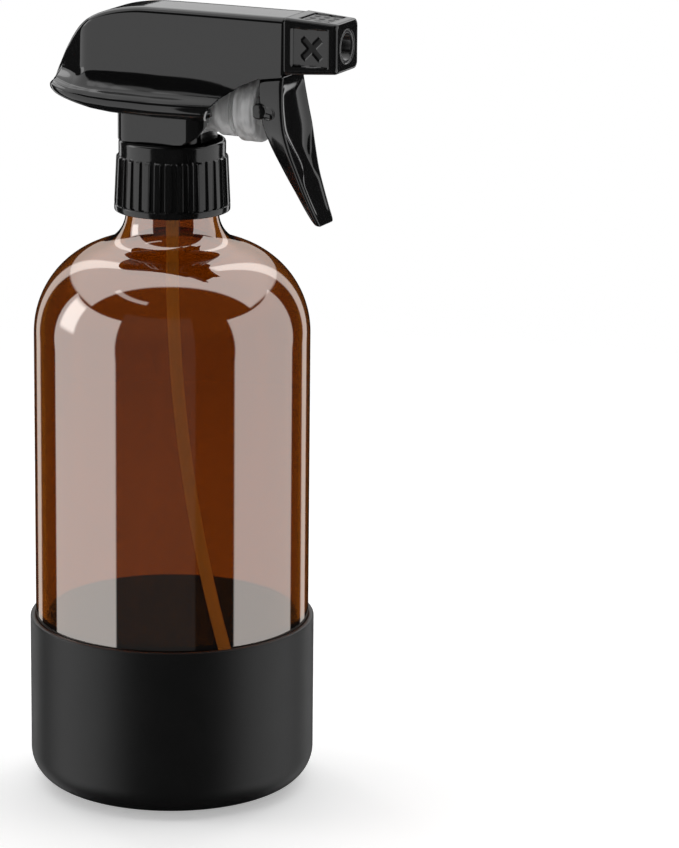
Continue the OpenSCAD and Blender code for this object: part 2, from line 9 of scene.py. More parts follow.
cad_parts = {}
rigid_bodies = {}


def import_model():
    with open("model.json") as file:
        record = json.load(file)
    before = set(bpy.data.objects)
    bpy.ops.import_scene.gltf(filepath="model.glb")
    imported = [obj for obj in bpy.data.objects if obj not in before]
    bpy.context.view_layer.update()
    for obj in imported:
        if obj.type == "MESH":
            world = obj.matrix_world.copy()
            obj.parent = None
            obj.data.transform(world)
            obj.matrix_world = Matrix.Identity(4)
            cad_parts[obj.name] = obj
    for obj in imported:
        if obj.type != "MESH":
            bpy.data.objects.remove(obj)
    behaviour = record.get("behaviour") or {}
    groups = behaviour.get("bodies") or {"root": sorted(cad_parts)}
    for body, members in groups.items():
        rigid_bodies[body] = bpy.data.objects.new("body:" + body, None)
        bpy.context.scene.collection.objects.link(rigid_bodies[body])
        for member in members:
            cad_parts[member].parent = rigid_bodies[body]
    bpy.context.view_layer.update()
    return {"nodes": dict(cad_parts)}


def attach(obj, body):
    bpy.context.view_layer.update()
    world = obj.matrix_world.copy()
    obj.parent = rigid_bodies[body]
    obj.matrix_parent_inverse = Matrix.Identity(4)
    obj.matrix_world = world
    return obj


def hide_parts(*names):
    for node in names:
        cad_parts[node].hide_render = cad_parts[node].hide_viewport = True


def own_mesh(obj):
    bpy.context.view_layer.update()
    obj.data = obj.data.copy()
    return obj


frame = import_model()
scene = bpy.context.scene
MM = 0.001

# ---------------------------------------------------------------- helpers


def mesh(name, verts, faces, body, mats, replaces=(), face_mat=None, angle=40):
    """A smooth mesh from millimetre points, riding on a body."""
    me = bpy.data.meshes.new(name)
    me.from_pydata((np.asarray(verts, float) * MM).tolist(), [], [tuple(int(i) for i in f) for f in faces])
    me.validate()
    for m in mats:
        me.materials.append(m)
    if face_mat is not None:
        me.polygons.foreach_set("material_index", np.asarray(face_mat, np.int32))
    me.polygons.foreach_set("use_smooth", np.ones(len(me.polygons), bool))
    me.set_sharp_from_angle(angle=math.radians(angle))
    me.update()
    ob = bpy.data.objects.new(name, me)
    scene.collection.objects.link(ob)
    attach(ob, body)
    if replaces:
        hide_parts(*replaces)
    return ob


def grid_faces(rows, cols, wrap_rows=False, wrap_cols=True, flip=False):
    out = []
    for i in range(rows if wrap_rows else rows - 1):
        a, b = i * cols, ((i + 1) % rows) * cols
        for j in range(cols if wrap_cols else cols - 1):
            k = (j + 1) % cols
            out.append((a + j, a + k, b + k, b + j) if not flip else (a + j, b + j, b + k, a + k))
    return out


class Build:
    """Collects several closed shells into one mesh."""

    def __init__(self):
        self.v, self.f, self.m, self.n = [], [], [], 0

    def add(self, verts, faces, mat=0):
        verts = np.asarray(verts, float).reshape(-1, 3)
        self.v.append(verts)
        self.f += [tuple(i + self.n for i in f) for f in faces]
        self.m += [mat] * len(faces)
        self.n += len(verts)
        return self

    def make(self, name, body, slot, mats, replaces=(), angle=40):
        return mesh(name, np.vstack(self.v), self.f, body, mats, replaces, self.m, angle)


def arc(c, r, a0, a1, n):
    t = np.radians(np.linspace(a0, a1, n + 1))
    return [(c[0] + r * math.cos(a), c[1] + r * math.sin(a)) for a in t]


def bez(p, t):
    p = np.asarray(p, float)
    t = np.asarray(t, float)[..., None]
    return (1 - t) ** 3 * p[0] + 3 * t * (1 - t) ** 2 * p[1] + 3 * t * t * (1 - t) * p[2] + t ** 3 * p[3]


def smooth(tab, x):
    """A smooth curve through the rows of a table."""
    tab = np.asarray(tab, float)
    xs, ys = tab[:, 0], tab[:, 1]
    sl = np.empty(len(xs))
    sl[0] = (ys[1] - ys[0]) / (xs[1] - xs[0])
    sl[-1] = (ys[-1] - ys[-2]) / (xs[-1] - xs[-2])
    sl[1:-1] = (ys[2:] - ys[:-2]) / (xs[2:] - xs[:-2])
    x = np.clip(x, xs[0], xs[-1])
    i = int(min(np.searchsorted(xs, x, side="right") - 1, len(xs) - 2))
    d = xs[i + 1] - xs[i]
    t = (x - xs[i]) / d
    return ((2 * t ** 3 - 3 * t * t + 1) * ys[i] + (t ** 3 - 2 * t * t + t) * d * sl[i]
            + (3 * t * t - 2 * t ** 3) * ys[i + 1] + (t ** 3 - t * t) * d * sl[i + 1])


def sstep(a, b, x):
    t = np.clip((np.asarray(x, float) - a) / (b - a), 0, 1)
    return t * t * (3 - 2 * t)


def dense(pts, step=0.8):
    """Adds points along the straight parts of an outline, close to its corners too, so shading stays clean."""
    out = []
    n = len(pts)
    for i in range(n - 1):
        a, b = np.array(pts[i], float), np.array(pts[i + 1], float)
        L = np.linalg.norm(b - a)
        if L < 1e-9:
            continue
        ts = [0.0]
        if L > 3 * step:
            ts += [min(0.25, 0.15 / L * 2)]
            ts += list(np.linspace(0, 1, int(L / (step * 4)) + 2)[1:-1])
            ts += [1 - min(0.25, 0.15 / L * 2)]
        out += [tuple(a + (b - a) * t) for t in ts]
    out.append(tuple(pts[-1]))
    return out


def round_poly(pts, radii, n=5, closed=True):
    """An outline with its corners rounded by the radii given."""
    out = []
    m = len(pts)
    for i in range(m):
        p = np.array(pts[i], float)
        r = radii[i] if hasattr(radii, "__len__") else radii
        if (not closed and i in (0, m - 1)) or r <= 0:
            out.append(tuple(p))
            continue
        a, b = np.array(pts[i - 1], float), np.array(pts[(i + 1) % m], float)
        u, w = a - p, b - p
        lu, lw = np.linalg.norm(u), np.linalg.norm(w)
        u, w = u / lu, w / lw
        k = min(r, lu * 0.48, lw * 0.48)
        for t in np.linspace(0, 1, n + 1):
            q0, q2 = p + u * k, p + w * k
            out.append(tuple((1 - t) ** 2 * q0 + 2 * t * (1 - t) * p + t * t * q2))
    return out


def revolve(profile, n=128, radius=None, closed=False):
    """Points and faces of a profile of (radius, height) turned about Z. radius(r, z, angle array) may reshape it."""
    ang = np.linspace(0, 2 * np.pi, n, endpoint=False)
    c, s = np.cos(ang), np.sin(ang)
    rows = []
    for r, z in profile:
        rr = np.full(n, r) if radius is None else radius(r, z, ang)
        rows.append(np.stack([rr * c, rr * s, np.full(n, z)], 1))
    return np.vstack(rows), grid_faces(len(profile), n, wrap_rows=closed)


def to_x(v, z0):
    """Turns a revolve about Z into one about the X axis at height z0."""
    v = np.asarray(v, float)
    return np.stack([v[:, 2], v[:, 1], z0 - v[:, 0]], 1)


def pipe(path, r, n=24, ends=True):
    """A round bar along a path of points."""
    path = np.asarray(path, float)
    t = np.gradient(path, axis=0)
    t /= np.linalg.norm(t, axis=1)[:, None]
    ref = np.array([0, 1.0, 0]) if abs(t[0][1]) < 0.9 else np.array([1.0, 0, 0])
    rows = []
    a = np.linspace(0, 2 * np.pi, n, endpoint=False)
    u = np.cross(ref, t[0])
    u /= np.linalg.norm(u)
    for i in range(len(path)):
        u = u - t[i] * (u @ t[i])
        u /= np.linalg.norm(u)
        w = np.cross(t[i], u)
        rr = r[i] if hasattr(r, "__len__") else r
        rows.append(path[i] + rr * (np.cos(a)[:, None] * u + np.sin(a)[:, None] * w))
    v = np.vstack(rows)
    f = grid_faces(len(path), n)
    if ends:
        f += [tuple(range(n))[::-1], tuple(range((len(path) - 1) * n, len(path) * n))]
    return v, f


# ---------------------------------------------------------------- node helpers


class Nodes:
    def __init__(self, tree):
        self.t = tree
        tree.nodes.clear()

    def n(self, kind, **kw):
        nd = self.t.nodes.new(kind)
        ins = kw.pop("ins", {})
        for k, v in kw.items():
            setattr(nd, k, v)
        for k, v in ins.items():
            self.put(nd.inputs[k], v)
        return nd

    def put(self, sock, v):
        if isinstance(v, bpy.types.NodeSocket):
            self.t.links.new(v, sock)
        else:
            sock.default_value = v

    def m(self, op, a, b=0.0, c=0.0):
        nd = self.t.nodes.new("ShaderNodeMath")
        nd.operation = op
        for i, v in enumerate((a, b, c)):
            self.put(nd.inputs[i], v)
        return nd.outputs[0]

    def vm(self, op, a, b=(0, 0, 0), out=0):
        nd = self.t.nodes.new("ShaderNodeVectorMath")
        nd.operation = op
        self.put(nd.inputs[0], a)
        self.put(nd.inputs[1], b)
        return nd.outputs["Value"] if op == "DOT_PRODUCT" else nd.outputs[0]

    def step(self, x, a, b):
        nd = self.t.nodes.new("ShaderNodeMapRange")
        nd.interpolation_type = "SMOOTHSTEP"
        self.put(nd.inputs["Value"], x)
        nd.inputs["From Min"].default_value = a
        nd.inputs["From Max"].default_value = b
        return nd.outputs[0]

    def band(self, x, lo, hi, soft):
        up = self.step(x, lo - soft / 2, lo + soft / 2)
        dn = self.step(x, hi - soft / 2, hi + soft / 2)
        return self.m("MULTIPLY", up, self.m("SUBTRACT", 1.0, dn))

    def noise(self, scale, detail=2.0, vec=None, stretch=None):
        tc = self.n("ShaderNodeTexCoord")
        src = tc.outputs["Object"] if vec is None else vec
        if stretch:
            mp = self.n("ShaderNodeMapping")
            self.put(mp.inputs["Vector"], src)
            mp.inputs["Scale"].default_value = stretch
            src = mp.outputs[0]
        nd = self.n("ShaderNodeTexNoise")
        self.put(nd.inputs["Vector"], src)
        nd.inputs["Scale"].default_value = scale
        nd.inputs["Detail"].default_value = detail
        return nd.outputs["Fac"]

    def bump(self, height, strength, dist):
        b = self.n("ShaderNodeBump")
        b.inputs["Strength"].default_value = strength
        b.inputs["Distance"].default_value = dist
        self.put(b.inputs["Height"], height)
        return b.outputs[0]


def principled(name, color, rough, bump=None, rough_var=0.0, spec=0.5, metal=0.0, trans=0.0, ior=1.5, sss=0.0,
               coat=0.0, var_scale=400, stretch=None, color_var=0.0):
    mt = bpy.data.materials.new(name)
    mt.use_nodes = True
    g = Nodes(mt.node_tree)
    out = g.n("ShaderNodeOutputMaterial")
    p = g.n("ShaderNodeBsdfPrincipled")
    p.inputs["Base Color"].default_value = (*color, 1)
    p.inputs["Metallic"].default_value = metal
    p.inputs["Specular IOR Level"].default_value = spec
    p.inputs["IOR"].default_value = ior
    p.inputs["Transmission Weight"].default_value = trans
    p.inputs["Coat Weight"].default_value = coat
    if sss:
        p.inputs["Subsurface Weight"].default_value = sss
        p.inputs["Subsurface Radius"].default_value = (1, 0.9, 0.8)
        p.inputs["Subsurface Scale"].default_value = 0.002
    n1 = g.noise(var_scale, 3.0, stretch=stretch)
    if color_var:
        mx = g.n("ShaderNodeMix", data_type="RGBA")
        g.put(mx.inputs["Factor"], n1)
        mx.inputs[6].default_value = (*[c * (1 - color_var) for c in color], 1)
        mx.inputs[7].default_value = (*[min(1, c * (1 + color_var)) for c in color], 1)
        g.put(p.inputs["Base Color"], mx.outputs[2])
    if rough_var:
        g.put(p.inputs["Roughness"], g.m("ADD", rough - rough_var / 2, g.m("MULTIPLY", n1, rough_var)))
    else:
        p.inputs["Roughness"].default_value = rough
    if bump:
        g.put(p.inputs["Normal"], g.bump(g.noise(bump[0], 2.0, stretch=stretch), bump[1], bump[2]))
    g.t.links.new(p.outputs[0], out.inputs[0])
    return mt


def glass(name, mirror, tint):
    """Coloured glass. mirror adds the polished outer skin's extra sheen."""
    mt = bpy.data.materials.new(name)
    mt.use_nodes = True
    g = Nodes(mt.node_tree)
    out = g.n("ShaderNodeOutputMaterial")
    nrm = g.bump(g.noise(28, 1.0, stretch=(1, 1, 0.35)), 0.12, 0.0004)
    gl = g.n("ShaderNodeBsdfGlass")
    gl.inputs["Color"].default_value = (*tint, 1)
    gl.inputs["Roughness"].default_value = 0.0
    gl.inputs["IOR"].default_value = 1.5
    g.put(gl.inputs["Normal"], nrm)
    last = gl.outputs[0]
    if mirror > 0:
        ref = g.n("ShaderNodeBsdfGlossy")
        ref.inputs["Color"].default_value = (1.0, 0.93, 0.88, 1)
        ref.inputs["Roughness"].default_value = 0.02
        g.put(ref.inputs["Normal"], nrm)
        geo = g.n("ShaderNodeNewGeometry")
        # only where the surface faces away from the bottle's axis
        flat = g.vm("MULTIPLY", geo.outputs["Position"], (1, 1, 0))
        away = g.m("GREATER_THAN", g.vm("DOT_PRODUCT", geo.outputs["Normal"], flat), 0.0)
        fac = g.m("MULTIPLY", g.m("MULTIPLY", mirror, away), g.m("SUBTRACT", 1.0, geo.outputs["Backfacing"]))
        mx = g.n("ShaderNodeMixShader")
        g.put(mx.inputs[0], fac)
        g.put(mx.inputs[1], last)
        g.put(mx.inputs[2], ref.outputs[0])
        last = mx.outputs[0]
    lp = g.n("ShaderNodeLightPath")
    tr = g.n("ShaderNodeBsdfTransparent")
    tr.inputs["Color"].default_value = (0.72, 0.5, 0.34, 1)
    mx = g.n("ShaderNodeMixShader")
    g.put(mx.inputs[0], lp.outputs["Is Shadow Ray"])
    g.put(mx.inputs[1], last)
    g.put(mx.inputs[2], tr.outputs[0])
    g.t.links.new(mx.outputs[0], out.inputs["Surface"])
    return mt


def translucent_plastic(name, color, rough, mixin, clear=0.0, painted_glow=0.0, foot=None, streak=0.0):
    """Milky moulded plastic: part diffuse, part light passing through."""
    mt = bpy.data.materials.new(name)
    mt.use_nodes = True
    g = Nodes(mt.node_tree)
    out = g.n("ShaderNodeOutputMaterial")
    p = g.n("ShaderNodeBsdfPrincipled")
    p.inputs["Base Color"].default_value = (*color, 1)
    n1 = g.noise(300, 2.0)
    g.put(p.inputs["Roughness"], g.m("ADD", rough - 0.04, g.m("MULTIPLY", n1, 0.08)))
    g.put(p.inputs["Normal"], g.bump(g.noise(220, 2.0), 0.1, 0.00015))
    tl = g.n("ShaderNodeBsdfTranslucent")
    tl.inputs["Color"].default_value = (*color, 1)
    if streak:  # flow marks and darker parts behind the milky wall, drawn out upright
        tc0 = g.n("ShaderNodeTexCoord")
        mp = g.n("ShaderNodeMapping")
        mp.inputs["Scale"].default_value = (1.0, 1.0, 0.22)
        g.put(mp.inputs["Vector"], tc0.outputs["Object"])
        ns = g.n("ShaderNodeTexNoise")
        ns.inputs["Scale"].default_value = 420.0
        ns.inputs["Detail"].default_value = 2.0
        g.put(ns.inputs["Vector"], mp.outputs[0])
        grey = g.m("MULTIPLY", g.m("ADD", 1.0 - streak, g.m("MULTIPLY", g.step(ns.outputs[0], 0.36, 0.62), streak)), color[0])
        g.put(p.inputs["Base Color"], grey)
        g.put(tl.inputs["Color"], grey)
    mx = g.n("ShaderNodeMixShader")
    mx.inputs[0].default_value = mixin
    g.put(mx.inputs[1], p.outputs[0])
    g.put(mx.inputs[2], tl.outputs[0])
    last = mx.outputs[0]
    if clear:
        tr = g.n("ShaderNodeBsdfTransparent")
        tr.inputs["Color"].default_value = (*[min(1, c * 1.05) for c in color], 1)
        m2 = g.n("ShaderNodeMixShader")
        m2.inputs[0].default_value = clear
        g.put(m2.inputs[1], last)
        g.put(m2.inputs[2], tr.outputs[0])
        last = m2.outputs[0]
    if painted_glow:  # painted glow: emission standing in for light gathered inside the bottle
        em = g.n("ShaderNodeEmission")
        em.inputs["Color"].default_value = (1.0, 0.85, 0.9, 1)
        em.inputs["Strength"].default_value = painted_glow
        ad = g.n("ShaderNodeAddShader")
        g.put(ad.inputs[0], last)
        g.put(ad.inputs[1], em.outputs[0])
        last = ad.outputs[0]
    if foot is not None:  # below this height the pump body is drawn black
        tc = g.n("ShaderNodeTexCoord")
        sp = g.n("ShaderNodeSeparateXYZ")
        g.put(sp.inputs[0], tc.outputs["Object"])
        dk = g.n("ShaderNodeBsdfPrincipled")
        dk.inputs["Base Color"].default_value = (0.0065, 0.0065, 0.0067, 1)
        dk.inputs["Roughness"].default_value = 0.15
        m3 = g.n("ShaderNodeMixShader")
        g.put(m3.inputs[0], g.m("LESS_THAN", sp.outputs["Z"], foot))
        g.put(m3.inputs[1], last)
        g.put(m3.inputs[2], dk.outputs[0])
        last = m3.outputs[0]
    g.t.links.new(last, out.inputs["Surface"])
    return mt


# ---------------------------------------------------------------- materials

BLACK = (0.0065, 0.0065, 0.0067)
m_head = principled("head_black_gloss", BLACK, 0.07, bump=(60, 0.05, 0.0002), rough_var=0.03, var_scale=250, color_var=0.1)
m_trig = principled("trigger_black_gloss", BLACK, 0.09, bump=(80, 0.06, 0.0002), rough_var=0.04, var_scale=300, color_var=0.1)
m_nozz = principled("nozzle_black_gloss", BLACK, 0.11, bump=(90, 0.06, 0.0002), rough_var=0.05, var_scale=320, color_var=0.1)
m_nozz_panel = principled("nozzle_panel_satin", (0.008, 0.008, 0.008), 0.3, bump=(900, 0.12, 0.0001), rough_var=0.08, var_scale=500)
m_nozz_cross = principled("nozzle_cross_matt", (0.006, 0.006, 0.006), 0.5, bump=(1200, 0.12, 0.0001), rough_var=0.08, var_scale=500, spec=0.35)
m_cap = principled("cap_black_gloss", BLACK, 0.13, bump=(120, 0.06, 0.0002), rough_var=0.06, var_scale=350, color_var=0.1)
m_sleeve = principled("silicone_satin_black", (0.0065, 0.0065, 0.0067), 0.44, bump=(1400, 0.1, 0.0001), rough_var=0.08,
                      var_scale=120, color_var=0.12, spec=0.36)
AMBER = (0.60, 0.385, 0.13)
m_glass = glass("amber_glass", 0.25, AMBER)
m_pump = translucent_plastic("pump_milky", (0.90, 0.90, 0.89), 0.28, 0.45, foot=0.1826, streak=0.3)
m_piston = translucent_plastic("piston_milky", (0.86, 0.86, 0.86), 0.22, 0.5, streak=0.34)
# the dip tube gets a painted glow, emission in place of light reaching it through the glass
m_tube = translucent_plastic("tube_milky", (0.80, 0.79, 0.76), 0.3, 0.45, clear=0.12, painted_glow=0.12)
m_retain = translucent_plastic("retainer_white", (0.78, 0.78, 0.77), 0.35, 0.2)
m_seal = principled("seal_white", (0.75, 0.75, 0.73), 0.4, bump=(500, 0.1, 0.0001), rough_var=0.1)
m_foam = principled("gasket_foam", (0.8, 0.8, 0.79), 0.8, bump=(1800, 0.5, 0.0002), rough_var=0.1, color_var=0.06)
m_steel = principled("spring_steel", (0.62, 0.62, 0.60), 0.22, metal=1.0, bump=(900, 0.1, 0.0001), rough_var=0.1)
m_ball = principled("ball_steel", (0.68, 0.68, 0.67), 0.08, metal=1.0, rough_var=0.03)
m_insert = principled("insert_dark", (0.03, 0.03, 0.031), 0.2, bump=(500, 0.1, 0.0001), rough_var=0.08)

# ---------------------------------------------------------------- glass bottle

BASE, RIM, GR, NR, WALL = 1.50, 170.10, 37.5, 12.6, 2.8
CC, CR = (29.7, 9.3), 7.8
SC, SR = (12.1, 126.6), 25.4
FC, FR = (21.6, 159.66), 9.0
TAN = math.degrees(math.atan2(FC[1] - SC[1], FC[0] - SC[0]))


def glass_profile():
    outer = [(0.01, BASE + 1.6), (5, BASE + 1.58), (10, BASE + 1.5), (15, BASE + 1.33), (19, BASE + 1.0), (22, BASE + 0.55)]
    outer += round_poly([(22, BASE + 0.55), (24.2, BASE), (27, BASE)], [0, 1.2, 0], 4, closed=False)[1:]
    outer += arc(CC, CR, -90, 0, 16)
    outer += [(GR, z) for z in (17.6, 20, 26, 34, 42, 44, 45, 46, 47, 48, 50, 56, 66, 76, 86, 96, 106, 114, 120, 124, 126)]
    outer += arc(SC, SR, 0, TAN, 44)
    outer += arc(FC, FR, TAN + 180, 180, 20)
    outer += [(NR, z) for z in np.arange(160.0, 169.2, 0.22)]
    outer += arc((NR - 0.9, RIM - 0.9), 0.9, 0, 90, 8)
    inner = arc((NR - WALL + 0.7, RIM - 0.7), 0.7, 90, 180, 8)
    inner += [(NR - WALL, z) for z in (168.4, 166, 164, 162, 160.5)]
    inner += arc(FC, FR + WALL, 180, TAN + 180, 20)
    inner += arc(SC, SR - WALL, TAN, 0, 44)
    inner += [(GR - WALL, z) for z in (124, 120, 114, 106, 96, 86, 76, 66, 56, 46, 36, 26, 18, 14)]
    inner += arc((GR - WALL - 6.2, BASE + 3.4 + 6.2), 6.2, 0, -90, 12)
    inner += [(24, BASE + 3.55), (18, BASE + 4.1), (10, BASE + 4.7), (4, BASE + 4.95), (0.01, BASE + 5.0)]
    n_out = len(outer)
    return outer + inner, n_out


def glass_radius(r, z, ang):
    rr = np.full(len(ang), r)
    if r > 12.0 and r < 13 and 162 < z < 169.5:
        for k in range(-1, 3):
            a = ang + 2 * np.pi * k
            on = sstep(0, 0.35, a) * (1 - sstep(2 * np.pi * 1.2 - 0.35, 2 * np.pi * 1.2, a))
            zc = 163.3 + 4.23 * a / (2 * np.pi)
            d = np.abs(z - zc)
            h = 1 - sstep(0.45, 1.2, d)
            rr = np.maximum(rr, r + (13.75 - NR) * h * on)
    return rr


prof, n_out = glass_profile()
gv, gf = revolve(prof, 192, glass_radius)
gl_ob = mesh("bottle_glass", gv, gf, "bottle", [m_glass], ("glass_bottle",), None, 60)

# ---------------------------------------------------------------- sleeve

w = 1.48
prof = [(0.01, 0.35), (8, 0.35), (20, 0.32), (24.5, 0.3), (25.3, 0.1), (26.2, 0.0), (28.5, 0.0)]
prof += arc((29.7, 9.3), 9.3, -88, 0, 22)
prof += [(39.0, z) for z in (10, 12, 16, 22, 28, 34, 40, 44, 45.6)]
prof += arc((39.0 - 0.55, 47.1 - 0.55), 0.55, 0, 90, 6)
prof += arc((37.52 + 0.45, 47.1 - 0.45), 0.45, 90, 180, 5)
prof += [(37.52, z) for z in (46, 44, 38, 30, 20, 11)]
prof += arc((29.7, 9.3), 7.82, 0, -90, 14)
prof += [(20, w), (8, w), (0.01, w)]
v, f = revolve(prof, 192)
mesh("sleeve_silicone", v, f, "bottle", [m_sleeve], ("silicone_sleeve",), None, 60)

# ---------------------------------------------------------------- cap


def cap_radius(r, z, ang):
    rr = np.full(len(ang), float(r))
    if r > 14.3 and 162.2 < z < 176.2:
        k = (ang / (2 * np.pi) * 32) % 1.0
        k = np.minimum(k, 1 - k)
        ridge = 1 - sstep(0.20, 0.36, k)
        top = 15.65 + (15.07 - 15.65) * (z - 162.4) / (175.2 - 162.4)
        end = 1 - sstep(174.9, 175.7, z)
        foot = sstep(162.2, 162.5, z)
        rr = rr + (np.maximum(top, rr) - rr) * ridge * end * foot
    return rr


prof = [(13.95, 160.36), (14.4, 160.36)]
prof += round_poly([(14.4, 160.36), (15.65, 160.36), (15.65, 162.1), (14.85, 162.45), (14.8, 163.0)], [0, 0.45, 0.3, 0.25, 0], 4, closed=False)[1:]
prof += [(14.8 - 0.35 * (z - 163) / 12.7, z) for z in np.concatenate([np.arange(163.3, 174.6, 0.6), np.arange(174.7, 176.3, 0.12)])]
prof += [(14.45, z) for z in (176.6, 177.5, 178.4)]
prof += arc((14.45 - 1.1, 179.9 - 1.1), 1.1, 0, 90, 8)
prof += [(12.6, 179.9), (11.75, 179.9)] + arc((11.3 + 0.3, 179.9 - 0.3), 0.3, 90, 180, 4)
prof += [(11.3, 179.0), (11.3, 177.9), (13.55, 177.9), (13.55, 171.9), (13.95, 171.8), (13.95, 165), (13.95, 161.0), (13.95, 160.36)]
v, f = revolve(prof, 768, cap_radius)
b = Build().add(v, f)
rows = []
for i in range(73):
    a = i / 72 * 2 * np.pi
    zz = 161.9 + 4.23 * i / 72
    e = min(1, i / 6, (72 - i) / 6)
    rc = 13.98 + (12.95 - 13.98) * max(0.03, e)
    for r, z in ((14.1, zz - 0.65 * (0.4 + 0.6 * e)), (rc, zz - 0.3), (rc, zz + 0.3), (14.1, zz + 0.65 * (0.4 + 0.6 * e))):
        rows.append((r * math.cos(a), r * math.sin(a), z))
b.add(rows, grid_faces(73, 4) + [(0, 1, 2, 3), (288, 291, 290, 289)])
b.make("cap_ribbed", "cap", "cap_plastic", [m_cap], ("screw_cap",), 35)

# ---------------------------------------------------------------- shroud

SH_TOP = [[-34.8, 193.6], [-33.6, 195.5], [-31.5, 199.0], [-29.6, 202.1], [-27.3, 205.2], [-24, 208.4], [-20.3, 211.4], [-16, 213.6], [-10, 215.2], [-4, 215.75], [36.4, 215.9]]
SH_RIM_W = [[-34.8, 2.6], [-34.0, 5.4], [-32.5, 8.4], [-30, 11.2], [-26, 13.3], [-20, 14.6], [-12, 15.1], [0, 15.0], [8, 14.3], [15, 12.8], [20, 11.2], [25, 9.9], [30, 8.9], [36.4, 8.3]]
SH_RIM_Z = [[-34.8, 192.6], [-33, 191.8], [-30, 191.1], [-26, 190.2], [-22, 189.3], [-18, 188.5], [-12, 187.9], [0, 187.5], [15.5, 187.6], [16.8, 190.5], [19, 193.6], [24.5, 197.3], [30, 199.7], [36.4, 201.0]]
SH_TOP_W = [[-34.8, 2.0], [-33.8, 4.6], [-32, 6.8], [-28, 7.9], [-22, 8.2], [36.4, 8.25]]
SIDE_Z = 197.7


def rim_z(x):
    tab = np.asarray(SH_RIM_Z)
    return float(np.interp(x, tab[:, 0], tab[:, 1]))


def hermite(a, b, ta, tb, n):
    """A curve from a to b that leaves and arrives at the tilts given, in degrees from straight down."""
    a, b = np.array(a, float), np.array(b, float)
    L = np.linalg.norm(b - a)
    da = np.array([math.sin(math.radians(ta)), -math.cos(math.radians(ta))]) * L
    db = np.array([math.sin(math.radians(tb)), -math.cos(math.radians(tb))]) * L
    t = np.linspace(0, 1, n + 1)[1:, None]
    return ((2 * t ** 3 - 3 * t * t + 1) * a + (t ** 3 - 2 * t * t + t) * da + (3 * t * t - 2 * t ** 3) * b + (t ** 3 - t * t) * db).tolist()


FULL_W = [[-34.8, 2.6], [-34.0, 5.4], [-32.5, 8.4], [-30, 11.2], [-26, 13.3], [-20, 14.6], [-12, 15.1], [0, 15.0], [8, 14.9], [15, 14.4], [20, 13.9], [26, 13.2], [36.4, 12]]
VIS_TOP_W = [[-34.8, 0.9], [-33.4, 1.5], [-30.5, 3.0], [-27.5, 4.9], [-25, 6.6], [-23, 7.75], [-21.3, 8.2], [-17, 8.25], [36.4, 8.25]]
VIS_TOP = [[-35.0, 193.4], [-34.3, 195.5], [-32.5, 199.1], [-30.5, 202.8], [-28.2, 206.0], [-25, 209.3], [-21, 212.1], [-16.5, 214.0], [-10, 215.35], [-4, 215.8], [36.4, 215.9]]
KNEE = 0.5


def half_section(x, inn):
    """Crest to rim: rows of (half width, height)."""
    steep = abs(smooth(VIS_TOP, x + 0.2) - smooth(VIS_TOP, x - 0.2)) / 0.4
    zb = rim_z(x)
    zt = max(zb + (0.2 if inn > 0 else 0.8), smooth(VIS_TOP, x) - inn * math.sqrt(1 + steep * steep))
    wt = max(0.4, smooth(VIS_TOP_W, x) - inn)
    full = x > 15.5
    zl = 187.6 if full else zb
    wb = max(0.6, smooth(FULL_W, x) - inn)
    h = zt - zl
    r = min(2.2, h * 0.35, wt * 0.6)
    zf = max(zl + h * 0.4, min(SIDE_Z, zt - h * 0.34))
    ws = wt + min(KNEE, (wb - wt) * 0.3)
    k, dw = zf - zl, wb - ws
    pts = [(0, zt), (wt * 0.35, zt), (wt * 0.6, zt - 0.0005 * h)]
    pts += [(wt - r + r * math.cos(math.radians(a)), zt - r + r * math.sin(math.radians(a))) for a in (86, 76, 66, 56, 45, 34, 24, 14, 5)]
    a0 = pts[-1]
    b0 = (ws, zf)
    mean = math.degrees(math.atan2(ws - a0[0], a0[1] - zf))
    pts += hermite(a0, (ws - 0.18 * (ws - a0[0]) - 0.1, zf + 0.13 * (a0[1] - zf)), mean, mean + 1, 12)
    pts += hermite(pts[-1], b0, mean + 1, 20, 8)
    pts += hermite(b0, (ws + 0.52 * dw, zl + 0.54 * k), 20, 42, 16)
    pts += hermite(pts[-1], (ws + 0.82 * dw, zl + 0.425 * k), 46, 52, 10)
    pts += hermite(pts[-1], (wb, zl + 0.27 * k), 50, 0, 12)
    pts += hermite(pts[-1], (wb - 0.14 * k, zl + 0.03 * k), 0, -66, 8)
    pts += hermite(pts[-1], (wb - 0.20 * k, zl), -66, -88, 3)
    pts = np.array(pts)
    if full:  # the front is the same section, cut off along the rim
        idx = np.arange(len(pts), dtype=float)
        start = 12
        zz = pts[start:, 1]
        cutpos = start + float(np.interp(-zb, -zz, idx[: len(zz)]))
        t = np.linspace(0, cutpos, len(pts))
        t[:start] = idx[:start]
        t[start:] = start + (cutpos - start) * np.linspace(0, 1, len(pts) - start)
        pts = np.stack([np.interp(t, idx, pts[:, 0]), np.interp(t, idx, pts[:, 1])], 1)
    return pts


def front_fit(x):
    """The front end draws in by a hair so that the nozzle's joint line shows."""
    return 0.16 * sstep(36.05, 36.4, x)


